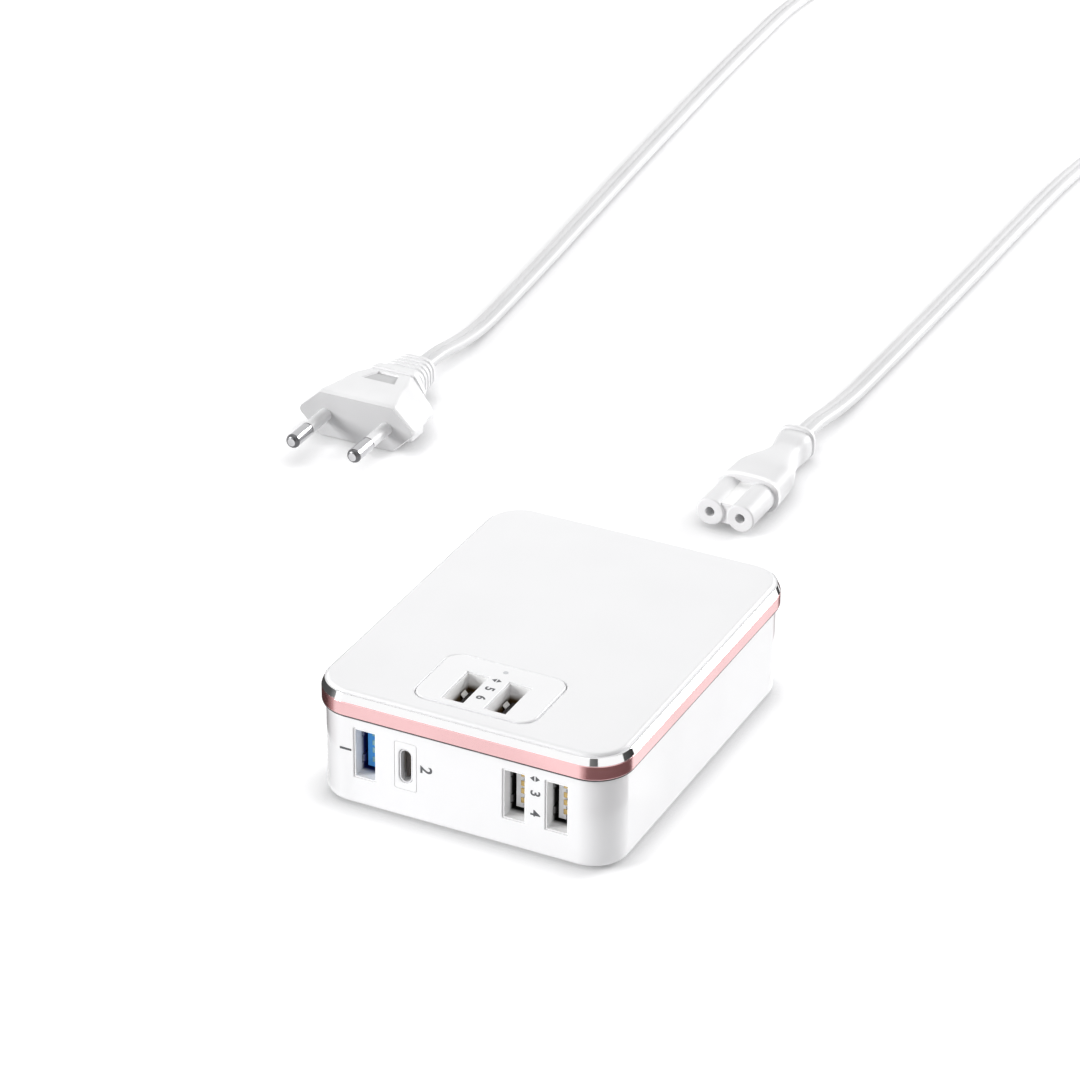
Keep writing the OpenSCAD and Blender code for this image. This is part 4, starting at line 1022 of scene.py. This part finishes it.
# Profiles across the tongue and along the socket, the first with the rounds of its corners
CREST = ([(-0.4, 4.15), (0.55, 4.15), (0.95, 5.2), (0.9, 6.4), (0.42, 9.5), (0.42, 10.6),
    (0.24, 10.6), (0.24, 4.28), (-0.4, 4.28)], (0.05, 0.2, 0.4, 0.4, 0, 0, 0, 0, 0.05))
PAD = np.array([(-1.76, 4.7), (-1.6, 4.7), (-1.6, 6.9), (-1.76, 6.9)])
# The top sockets' slanting spring leaf, whose white is a painted highlight
LEAF = np.array([(-2.5, 3.6), (-1.68, 4.5), (-1.68, 4.8), (-2.5, 3.9)])


def springs_piece(number, material, bright):
    """A full-size socket's spring contacts: four closed profiles, each rising from the
    tongue's tip to a crest and running back along it. The first socket has a second row's
    pads too, and each top socket a slanting leaf painted white as a highlight."""
    low, high = span(f"socket_{number}_shell")
    mid = (low + high) / 2
    on_top = number in TOP_SOCKETS
    if on_top:
        origin, axes = mid * [1, 1, 0] + high * Z, (X, -Z, Y)
    else:
        origin, axes = mid * [1, 0, 1] + low * Y, (X, Y, Z)
    strips = [(softened_loop(*CREST, 4), z, 1.35) for z in (-3.5, -1, 1, 3.5)]
    if number == 1:
        strips += [(PAD, 2 * i, 1.0) for i in range(-2, 3)]
    if on_top:
        strips.append((LEAF, 3.5, 2.2))
    skin = Skin()
    for loop, z, wide in strips:
        ends = np.array([z - wide / 2, z + wide / 2])
        skin.closed(placed(along(np.stack([loop, loop]), ends), origin, *axes))
    piece = stands_for(skin.make(f"socket_{number}_springs"), [f"socket_{number}_contacts"],
        material)
    if on_top:
        # The leaf's faces take the white of a painted highlight
        edge = mid[0] + LEAF[:, 0].max() + 0.08
        second_finish(piece, bright, lambda centre, normal: centre[:, 0] < edge)
    return piece


def label_piece(sizes, material):
    """Port numerals and small arrow pairs, a hair proud of the faces that they mark."""
    front, top = span("lower_case")[0][1], span("port_panel")[1][2]
    plan = [("1", (-30.0, front, 15.1), -Z, X, 1.75), ("2", (-9.0, front, 15.1), -Z, X, 1.75),
        ("3", (18.9, front, 16.9), -Z, X, 1.4), ("4", (18.9, front, 11.6), -Z, X, 1.4),
        ("5", (-0.5, -33.6, top), -Y, X, 1.35), ("6", (-0.5, -38.0, top), -Y, X, 1.35)]
    skin = Skin()
    for text, at, a, b, size in plan:
        points, faces = numeral(text, mm(sizes.numeral) * size)
        skin.faces += [[i + skin.count for i in face] for face in faces]
        skin.add(placed(points, at, a, b, np.cross(a, b)), [])
    for at, a, b in (((18.9, front, 20.8), X, Z), ((-0.6, -29.6, top), X, Y)):
        for way in (-1, 1):
            arrow = np.array([(0.15, 0.75), (0.15, -0.75), (1.25, 0)]) * [way, 1]
            both = np.stack([arrow, arrow])
            skin.closed(placed(along(both, np.array([-0.02, 0.02])), at, a, b, np.cross(a, b)))
    return stands_for(skin.make("port_labels"), [], material)


# Stage

CAMERA_AT = (0.3608, -0.7457, 0.5084)
CAMERA_TURN, CAMERA_RISE, CAMERA_ROLL = np.radians([26.095, 28.771, 0.595])
LENS, SENSOR = 135.38, 36
# Name, place, aim, size and power of each lamp
LAMPS = (
    ("Key", (-1.0965, -0.888, 0.523), (0, 0, 0.01), 0.6, 18.8),
    ("Side", (0.706, 1.222, 0.523), (0, 0, 0.01), 0.6, 20),
    ("Top", (-0.1, 0.2, 1.4), (0, 0.05, 0), 0.9, 2.2))
FLOOR_HALF, FLOOR_SINK = 4, 5e-5
FLOOR_LIFT, FLOOR_NEAR, FLOOR_FAR = 0.38, 0.35, 1.0
# Reach and lean of the painted contact shadow that darkens the floor's colour for the camera
PAINTED_SHADOW_REACH = 0.0068
PAINTED_SHADOW_LEAN = (-0.5, 0.4, 0.77)
AMBIENT = 0.38
# Name, centre, directions with their tones and distance of each card, and all but the
# last of each patch
MIRROR_CARDS = (
    ("card left", (-0.033, -0.042), ((128, 0.05), (205, 0.08), (223, 0.22)), 0.07),
    ("card front right", (0.033, -0.044), ((-78, 0.2), (-57, 0.1)), 0.4),
    ("card right", (0.033, -0.044), ((12, 0.09), (49.3, 0.03)), 0.15),
    ("card rear right", (0.036, 0.045), ((60, 0.06), (112, 0.06)), 0.1))
MIRROR_PATCHES = (
    ("patch left", (-0.03, -0.04), ((100, 0.05), (188, 0.08), (211, 0.5), (218, 1.0))),
    ("patch right", (0.03, -0.04), ((-102, 0.95), (-84, 0.2), (30, 0.15), (42, 0.22))),
    ("patch bright", (0.03, -0.04), ((43, 1.3), (58, 1.3), (70, 1.0))),
    ("patch rear right", (0.03, 0.04), ((64, 0.6), (80, 0.1), (120, 0.1))))
PATCH_NEAR, PATCH_FAR = 0.03, 0.09
# Where the flag stands across the block, and its two ends along it
FLAG = (-0.045, -0.058, -0.04)
FLAG_TONE = 0.12


def camera():
    """The photograph's view: back along the line of sight, turned about the block and
    rolled a little."""
    ct, st = np.cos(CAMERA_TURN), np.sin(CAMERA_TURN)
    cr, sr = np.cos(CAMERA_RISE), np.sin(CAMERA_RISE)
    c, s = np.cos(CAMERA_ROLL), np.sin(CAMERA_ROLL)
    right, up = np.array([ct, st, 0]), np.array([-st * sr, ct * sr, cr])
    turn = np.eye(4)
    turn[:3] = np.transpose([right * c + up * s, up * c - right * s,
        (st * cr, -ct * cr, sr), CAMERA_AT])
    data = bpy.data.cameras.new("View")
    data.lens, data.sensor_width, data.clip_end = LENS, SENSOR, 20
    made = linked("View", data)
    made.matrix_world = Matrix(turn.tolist())
    bpy.context.scene.camera = made


def lamp(name, at, aim, size, power):
    """A soft square lamp at a place, aimed at another."""
    data = bpy.data.lights.new(name, "AREA")
    data.shape, data.size, data.energy = "SQUARE", size, power
    facing = (Vector(aim) - Vector(at)).to_track_quat("-Z", "Y").to_matrix().to_4x4()
    linked(name, data).matrix_world = Matrix.Translation(at) @ facing


def seen_white(tree):
    """One for camera, glossy and transmitted rays, nothing for others."""
    path = node(tree, "LightPath").outputs
    first = node(tree, "Math", {0: path["Is Camera Ray"], 1: path["Is Glossy Ray"]},
        operation="MAXIMUM")
    return node(tree, "Math", {0: first.outputs[0], 1: path["Is Transmission Ray"]},
        operation="MAXIMUM").outputs[0]


def staged(name, corners, faces, material):
    """A mesh object of the stage, with its material."""
    mesh = bpy.data.meshes.new(name)
    mesh.from_pydata(corners, [], faces)
    mesh.materials.append(material)
    made = linked(name, mesh)
    return made


def unseen(card, *kinds):
    """Hides a card of the stage from the camera, from soft and passing light, and from the
    given kinds of rays."""
    for kind in (*kinds, "camera", "diffuse", "transmission", "volume_scatter"):
        setattr(card, f"visible_{kind}", False)


def pale_floor():
    """A pale floor: matt, so that it keeps the shadows, with a glow that lifts it to the
    background's white away from the block. Close to what stands on it, the colour that the
    camera sees is darkened by ambient occlusion leaned one way: a painted contact shadow."""
    material, tree = blank("pale floor")
    # Painted contact shadow: occlusion leaned one way darkens what the camera sees
    near = node(tree, "AmbientOcclusion", {"Distance": PAINTED_SHADOW_REACH,
        "Normal": PAINTED_SHADOW_LEAN}, samples=3)
    close = node(tree, "MapRange", {"Value": near.outputs["AO"], "From Min": 0.4,
        "From Max": 0.97, "To Min": 0.56})
    camera_ray = node(tree, "LightPath").outputs["Is Camera Ray"]
    eye = node(tree, "Mix", {"Factor": camera_ray, "A": 1.0, "B": close.outputs[0]},
        data_type="FLOAT").outputs[0]
    tint = node(tree, "Mix", {"Factor": 1.0, "A": linear((232, 232, 233)), "B": eye},
        data_type="RGBA", blend_type="MULTIPLY")
    matt = node(tree, "BsdfDiffuse", {"Color": tint.outputs["Result"]})
    place = node(tree, "TexCoord").outputs["Object"]
    away = node(tree, "VectorMath", {0: place}, operation="LENGTH").outputs["Value"]
    far = node(tree, "MapRange", {"Value": away, "From Min": FLOOR_NEAR,
        "From Max": FLOOR_FAR, "To Min": FLOOR_LIFT})
    seen = node(tree, "Math", {0: seen_white(tree), 1: eye}, operation="MULTIPLY")
    lift = node(tree, "Math", {0: seen.outputs[0], 1: far.outputs[0]},
        operation="MULTIPLY")
    glow = node(tree, "Emission", {"Color": (1, 1, 1, 1), "Strength": lift.outputs[0]})
    both = node(tree, "AddShader", {0: matt.outputs[0], 1: glow.outputs[0]})
    node(tree, "OutputMaterial", {"Surface": both.outputs[0]})
    staged("floor", [(x * FLOOR_HALF, y * FLOOR_HALF, -FLOOR_SINK)
        for x, y in ((-1, -1), (1, -1), (1, 1), (-1, 1))], [(0, 1, 2, 3)], material)


def studio_world():
    """A background that is white where it is seen and dimmer as a light."""
    world = bpy.data.worlds.new("studio")
    bpy.context.scene.world = world
    world.use_nodes = True
    tree = world.node_tree
    tree.nodes.clear()
    level = node(tree, "MapRange", {"Value": seen_white(tree), "To Min": AMBIENT,
        "To Max": 1.0})
    sky = node(tree, "Background", {"Color": (1, 1, 1, 1),
        "Strength": level.outputs[0]})
    node(tree, "OutputWorld", {"Surface": sky.outputs[0]})


def mirror_object(name, centre, tones, lower, upper, rosy):
    """A surface round a corner of the block that only mirrors see: its tone follows the
    direction, from one given pair of direction and tone to the next. The patches are rosy
    where they are dark, as the band's own shade is."""
    turn = np.linspace(tones[0][0], tones[-1][0], 25)
    tone = np.interp(turn, *np.transpose(tones))
    way = np.stack([np.cos(np.radians(turn)), np.sin(np.radians(turn))], 1)
    corners = [(*(np.array(centre) + reach * w), z) for reach, z in (lower, upper) for w in way]
    n = len(turn)
    material, tree = blank(name)
    shown_tone = node(tree, "Attribute", attribute_name="tone").outputs["Color"]
    glow = node(tree, "Emission", {"Color": shown_tone})
    node(tree, "OutputMaterial", {"Surface": glow.outputs[0]})
    card = staged(name, corners, [(i, i + 1, n + i + 1, n + i) for i in range(n - 1)], material)
    lost = 0.45 * np.clip(1 - tone, 0, 1) if rosy else 0 * tone
    colour = np.stack([tone, tone * (1 - lost), tone * (1 - lost), np.ones(n)], 1)
    store = card.data.attributes.new("tone", "FLOAT_COLOR", "POINT")
    store.data.foreach_set("color", np.tile(colour, (2, 1)).astype(np.float32).ravel())
    unseen(card, "shadow")


def flag():
    """A half clear card beside the block's left front corner that only shadows see: it
    takes some of the key light off the corner's turn."""
    material, tree = blank("flag")
    clear = node(tree, "BsdfTransparent", {"Color": (FLAG_TONE,) * 3 + (1,)})
    node(tree, "OutputMaterial", {"Surface": clear.outputs[0]})
    x, y0, y1 = FLAG
    card = staged("flag", [(x, y0, 0.0056), (x, y1, 0.0056), (x, y1, 0.03), (x, y0, 0.03)],
        [(0, 1, 2, 3)], material)
    unseen(card, "glossy")


# Operators

class STAGE_OT_build(bpy.types.Operator):
    """Sets the camera, the floor, the background, the lamps and the dark cards"""
    bl_idname = "charging_block.stage"
    bl_label = "Stage"

    def execute(self, context):
        settings = context.scene.view_settings
        settings.view_transform = "Standard"
        camera()
        pale_floor()
        studio_world()
        for plan in LAMPS:
            lamp(*plan)
        for name, centre, tones, reach in MIRROR_CARDS:
            mirror_object(name, centre, tones, (reach, -0.01), (reach, 0.35), False)
        for name, centre, tones in MIRROR_PATCHES:
            mirror_object(name, centre, tones, (PATCH_NEAR, 1e-4), (PATCH_FAR, 1e-4), True)
        flag()
        return {"FINISHED"}


class LEAD_OT_cord(bpy.types.Operator):
    """Builds the cord along its route with its coil and the strap that ties it"""
    bl_idname = "charging_block.cord"
    bl_label = "Cord and coil"

    def execute(self, context):
        sizes, colours = context.scene.lead_sizes, context.scene.finish_colours
        white = finish("cord white", dimmed(colours.lead, 0.905), (209, 209, 210), rough=0.38,
            drift=0.1, grain=900.0, stretch=(0.05, 1.0, 1.0), mottle=30.0, bump=0.12,
            attribute="lay")
        piece, line, long = cord_piece(sizes, white)
        cloth = finish("strap weave", (236, 236, 236), (214, 214, 216), rough=0.8, grain=5200.0,
            mottle=400.0, bump=0.6, depth=0.0001, marks=0.0)
        strap_piece(sizes, cloth)
        print("cord length", round(long * MM, 4))
        return {"FINISHED"}


class LEAD_OT_connector(bpy.types.Operator):
    """Builds the two-hole connector and finishes its terminals"""
    bl_idname = "charging_block.connector"
    bl_label = "Connector"

    def execute(self, context):
        colours = context.scene.finish_colours
        white = finish("connector white", dimmed(colours.lead, 0.965), (226, 226, 227),
            rough=0.5, grain=4200.0, bump=0.1)
        # Glossier white whose paleness is a painted highlight on the bridge and the ridge
        painted_highlight = finish("polished white", (254, 254, 254), (251, 251, 251), rough=0.25,
            grain=4200.0, bump=0.05, marks=0.1)
        connector_piece(context.scene.lead_sizes, white, painted_highlight)
        paint("connector_terminals", finish("tinned terminals", (206, 206, 208), rough=0.5,
            metallic=0.5, stretch=(1.0, 0.1, 1.0), grain=6000.0))
        return {"FINISHED"}


class LEAD_OT_plug(bpy.types.Operator):
    """Builds the plug's body, its pins and their sleeves"""
    bl_idname = "charging_block.plug"
    bl_label = "Plug"

    def execute(self, context):
        sizes, colours = context.scene.lead_sizes, context.scene.finish_colours
        white = finish("plug white", rgb(colours.lead), rough=0.34, grain=4200.0, bump=0.1)
        # Matt grey that paints the shade on the pin face and in the recess
        matt = finish("plug matt painted shade", (203, 203, 204), rough=0.6, grain=5200.0, bump=0.3)
        plug_piece(sizes, white, matt)
        metal = finish("nickel pins", (205, 205, 207), (188, 188, 190), rough=0.12, drift=0.05,
            metallic=1.0, grain=7000.0, stretch=(1.0, 0.08, 1.0), bump=0.08, marks=0.1)
        # Darker metal for the painted reflection on the pin ends and the shade at their ring
        end = finish("pin ends painted dark", (112, 112, 114), (98, 98, 100), rough=0.3, metallic=1.0,
            grain=7000.0, bump=0.08, marks=0.1)
        sleeve = finish("sleeve white", (238, 238, 239), rough=0.35, grain=5000.0)
        pin_pieces(sizes, metal, end, sleeve)
        return {"FINISHED"}


class BLOCK_OT_case(bpy.types.Operator):
    """Builds the gloss lower case with its openings, and its feet"""
    bl_idname = "charging_block.case"
    bl_label = "Lower case and feet"

    def execute(self, context):
        sizes, colours = context.scene.block_sizes, context.scene.finish_colours
        gloss = finish("gloss case white", rgb(colours.case), rough=0.16, drift=0.04, grain=500.0,
            second=(247, 247, 248), bump=0.02, coat=0.4, marks=0.1)
        case_piece(sizes, gloss)
        insert_piece(gloss)
        rubber = finish("foot rubber", (150, 150, 152), (128, 128, 130), rough=0.75, grain=3800.0,
            bump=0.5, marks=0.0)
        feet_piece(rubber)
        return {"FINISHED"}


class BLOCK_OT_crown(bpy.types.Operator):
    """Builds the accent band, the bright trim ring and the dark strip of painted shadow under the
    band, and paints the frame under them dark as painted shade
    """
    bl_idname = "charging_block.crown"
    bl_label = "Band and trim"

    def execute(self, context):
        sizes, colours = context.scene.block_sizes, context.scene.finish_colours
        band_piece(sizes, finish("rose band", rgb(colours.band), rough=0.2, drift=0.05,
            grain=900.0, bump=0.04, metallic=1.0, marks=0.15))
        trim_piece(sizes, finish("bright trim", (253, 253, 253), (250, 250, 251), rough=0.07,
            drift=0.04, metallic=1.0, grain=1500.0, bump=0.02, marks=0.1))
        # Dark grey as painted shade in the gap under the band, on the strip and the frame
        grey = finish("frame painted shade grey", (70, 66, 67), rough=0.6, grain=2400.0, bump=0.3)
        painted_shadow_strip_piece(sizes, grey)
        paint("inner_frame", grey)
        return {"FINISHED"}


class BLOCK_OT_top(bpy.types.Operator):
    """Builds the top plate and the port panel, and finishes the light pipe and its lamp"""
    bl_idname = "charging_block.top"
    bl_label = "Top plate and panel"

    def execute(self, context):
        sizes, colours = context.scene.block_sizes, context.scene.finish_colours
        plate_piece(sizes, finish("satin plate", rgb(colours.plate), rough=0.45, drift=0.04,
            second=(241, 241, 242), grain=5200.0, bump=0.16, marks=0.08))
        panel_piece(sizes, finish("panel white", (246, 246, 247), (244, 244, 245), rough=0.3,
            drift=0.04, grain=1200.0, bump=0.04, marks=0.08))
        paint("light_pipe", finish("frosted pipe", (214, 216, 219), rough=0.5, grain=3000.0,
            bump=0.3))
        paint("status_lamp", finish("lamp resin", (232, 222, 150), (210, 196, 110), rough=0.3,
            grain=4000.0, mottle=1400.0))
        return {"FINISHED"}


class BLOCK_OT_inlet(bpy.types.Operator):
    """Builds the mains inlet and finishes its pins"""
    bl_idname = "charging_block.inlet"
    bl_label = "Mains inlet"

    def execute(self, context):
        inlet_piece(finish("inlet black", (34, 34, 36), (26, 26, 28), rough=0.45,
            grain=3200.0, bump=0.3))
        paint("inlet_pins", finish("inlet pin metal", (205, 205, 207), rough=0.18, metallic=1.0,
            stretch=(1.0, 0.08, 1.0), grain=6000.0, bump=0.1))
        return {"FINISHED"}


class BLOCK_OT_labels(bpy.types.Operator):
    """Builds the port numerals and the arrow pairs"""
    bl_idname = "charging_block.labels"
    bl_label = "Port labels"

    def execute(self, context):
        label_piece(context.scene.block_sizes, finish("label grey", (84, 85, 88), (94, 95, 98),
            rough=0.5, grain=9000.0, bump=0.1))
        return {"FINISHED"}


class BLOCK_OT_sockets(bpy.types.Operator):
    """Finishes the sockets' shells, tongues and contacts"""
    bl_idname = "charging_block.sockets"
    bl_label = "Sockets"

    def execute(self, context):
        colours = context.scene.finish_colours
        steel = finish("drawn steel", (238, 238, 240), (228, 228, 231), rough=0.42, drift=0.1,
            metallic=0.35, grain=2600.0, stretch=(1.0, 0.08, 1.0), bump=0.15)
        gold = finish("contact gold", (212, 188, 132), (184, 156, 98), rough=0.22, metallic=1.0,
            grain=5200.0, bump=0.1)
        cool = finish("cool contacts", (150, 196, 205), (120, 168, 180), rough=0.3, metallic=0.8,
            grain=5200.0, bump=0.1)
        # White of the painted highlight on the top sockets' leaf
        bright = finish("painted highlight leaf", (254, 253, 250), (250, 249, 246), rough=0.3, grain=5200.0)
        blue = finish("blue tongue", rgb(colours.tongue), rough=0.38, grain=5200.0, bump=0.15)
        white = finish("white tongue", (253, 253, 253), (247, 247, 248), rough=0.4,
            grain=5200.0, bump=0.15)
        dark = finish("dark tongue", (44, 36, 33), (34, 29, 27), rough=0.45, grain=5200.0, bump=0.2)
        front, top = span("lower_case")[0][1], span("port_panel")[1][2]
        # Colours of the painted shade deep inside the sockets, black and brown
        depth_shade_black, depth_shade_brown = (18, 17, 17), (92, 70, 38)
        # Each socket's tongue and the painted shade its shell fades to, navy in the first
        for n, tongue, far in ((1, blue, (10, 22, 96)), (3, white, depth_shade_black), (4, white, depth_shade_black),
                (5, dark, depth_shade_brown), (6, dark, depth_shade_brown)):
            if n in TOP_SOCKETS:
                deep = (2, top - 2.6, top - 4.6, far)
            else:
                deep = (1, front + 2.6, front + 4.6, far)
            # Near-white shell that fades with depth to its painted shade
            paint(f"socket_{n}_shell", finish(f"shell {n}", (254, 254, 254), (250, 250, 251),
                rough=0.42, drift=0.1, metallic=0.1, grain=2600.0, stretch=(1.0, 0.08, 1.0),
                bump=0.15, deep=deep))
            paint(f"socket_{n}_tongue", tongue)
            springs_piece(n, cool if n == 1 else gold, bright)
        paint("oval_shell", steel)
        paint("oval_tongue", dark)
        paint("oval_contacts", gold)
        return {"FINISHED"}


BOARD_LOOK = dict(colour=(38, 96, 58), second=(24, 74, 42), rough=0.35, mottle=260.0,
    drift=0.2)
INNER_FINISHES = {
    "main_board": BOARD_LOOK,
    "top_port_board": BOARD_LOOK,
    "board_link": dict(colour=(34, 34, 35), second=(24, 24, 25), rough=0.5),
    "transformer_core": dict(colour=(62, 62, 66), second=(48, 48, 51), rough=0.6,
        mottle=900.0, bump=0.5),
    "transformer_winding": dict(colour=(226, 196, 96), second=(208, 174, 74), rough=0.3,
        mottle=120.0, stretch=(1.0, 12.0, 1.0), grain=180.0, bump=0.3),
    "bulk_capacitors": dict(colour=(38, 50, 62), second=(30, 40, 50), rough=0.25, mottle=80.0),
    "output_capacitors": dict(colour=(42, 60, 50), second=(34, 50, 42), rough=0.25, mottle=80.0),
    "line_choke": dict(colour=(176, 104, 56), second=(128, 70, 36), rough=0.3, metallic=0.6,
        mottle=700.0, stretch=(1.0, 1.0, 0.1), grain=900.0, bump=0.6, depth=0.0002),
    "film_capacitor": dict(colour=(206, 168, 60), second=(190, 150, 48), rough=0.35),
    "fuse": dict(colour=(120, 120, 122), second=(104, 104, 106), rough=0.4),
    "bridge_rectifier": dict(colour=(32, 32, 33), second=(26, 26, 27), rough=0.5),
    "heat_sink": dict(colour=(206, 208, 211), second=(190, 192, 195), rough=0.35, metallic=1.0,
        stretch=(1.0, 0.05, 1.0), bump=0.2),
    "case_screws": dict(colour=(170, 170, 172), second=(150, 150, 152), rough=0.3, metallic=1.0,
        grain=4000.0, mottle=500.0),
}


class BLOCK_OT_inner_parts(bpy.types.Operator):
    """Finishes the boards and the parts that stand on them"""
    bl_idname = "charging_block.inner_parts"
    bl_label = "Inner parts"

    def execute(self, context):
        for name, look in INNER_FINISHES.items():
            paint(name, finish(name.replace("_", " "), **look))
        return {"FINISHED"}


OPERATORS = (STAGE_OT_build, LEAD_OT_cord, LEAD_OT_connector, LEAD_OT_plug, BLOCK_OT_case,
    BLOCK_OT_crown, BLOCK_OT_top, BLOCK_OT_inlet, BLOCK_OT_labels, BLOCK_OT_sockets,
    BLOCK_OT_inner_parts)
GROUPS = {"block_sizes": BlockSizes, "lead_sizes": LeadSizes, "finish_colours": FinishColours}


class BLOCK_PT_panel(bpy.types.Panel):
    """Lists the block's sizes, its colours and the steps that build it"""
    bl_idname = "BLOCK_PT_panel"
    bl_label = "Charging block"
    bl_space_type = "VIEW_3D"
    bl_region_type = "UI"
    bl_category = "Charging block"

    def draw(self, context):
        for key, group in GROUPS.items():
            box = self.layout.box()
            box.label(text=group.__doc__)
            for name in group.__annotations__:
                box.prop(getattr(context.scene, key), name)
        for operator in OPERATORS:
            self.layout.operator(operator.bl_idname)


def register():
    """Registers the property groups, the operators and the panel."""
    for key, group in GROUPS.items():
        bpy.utils.register_class(group)
        setattr(bpy.types.Scene, key, PointerProperty(type=group))
    for cls in (*OPERATORS, BLOCK_PT_panel):
        bpy.utils.register_class(cls)


def unregister():
    """Takes back what register did."""
    for cls in (BLOCK_PT_panel, *reversed(OPERATORS)):
        bpy.utils.unregister_class(cls)
    for key, group in GROUPS.items():
        delattr(bpy.types.Scene, key)
        bpy.utils.unregister_class(group)


def main():
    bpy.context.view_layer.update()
    register()
    moulded_effect()
    handled_effect()
    for operator in OPERATORS:
        group, name = operator.bl_idname.split(".")
        getattr(getattr(bpy.ops, group), name)()


if __name__ == "__main__":
    main()
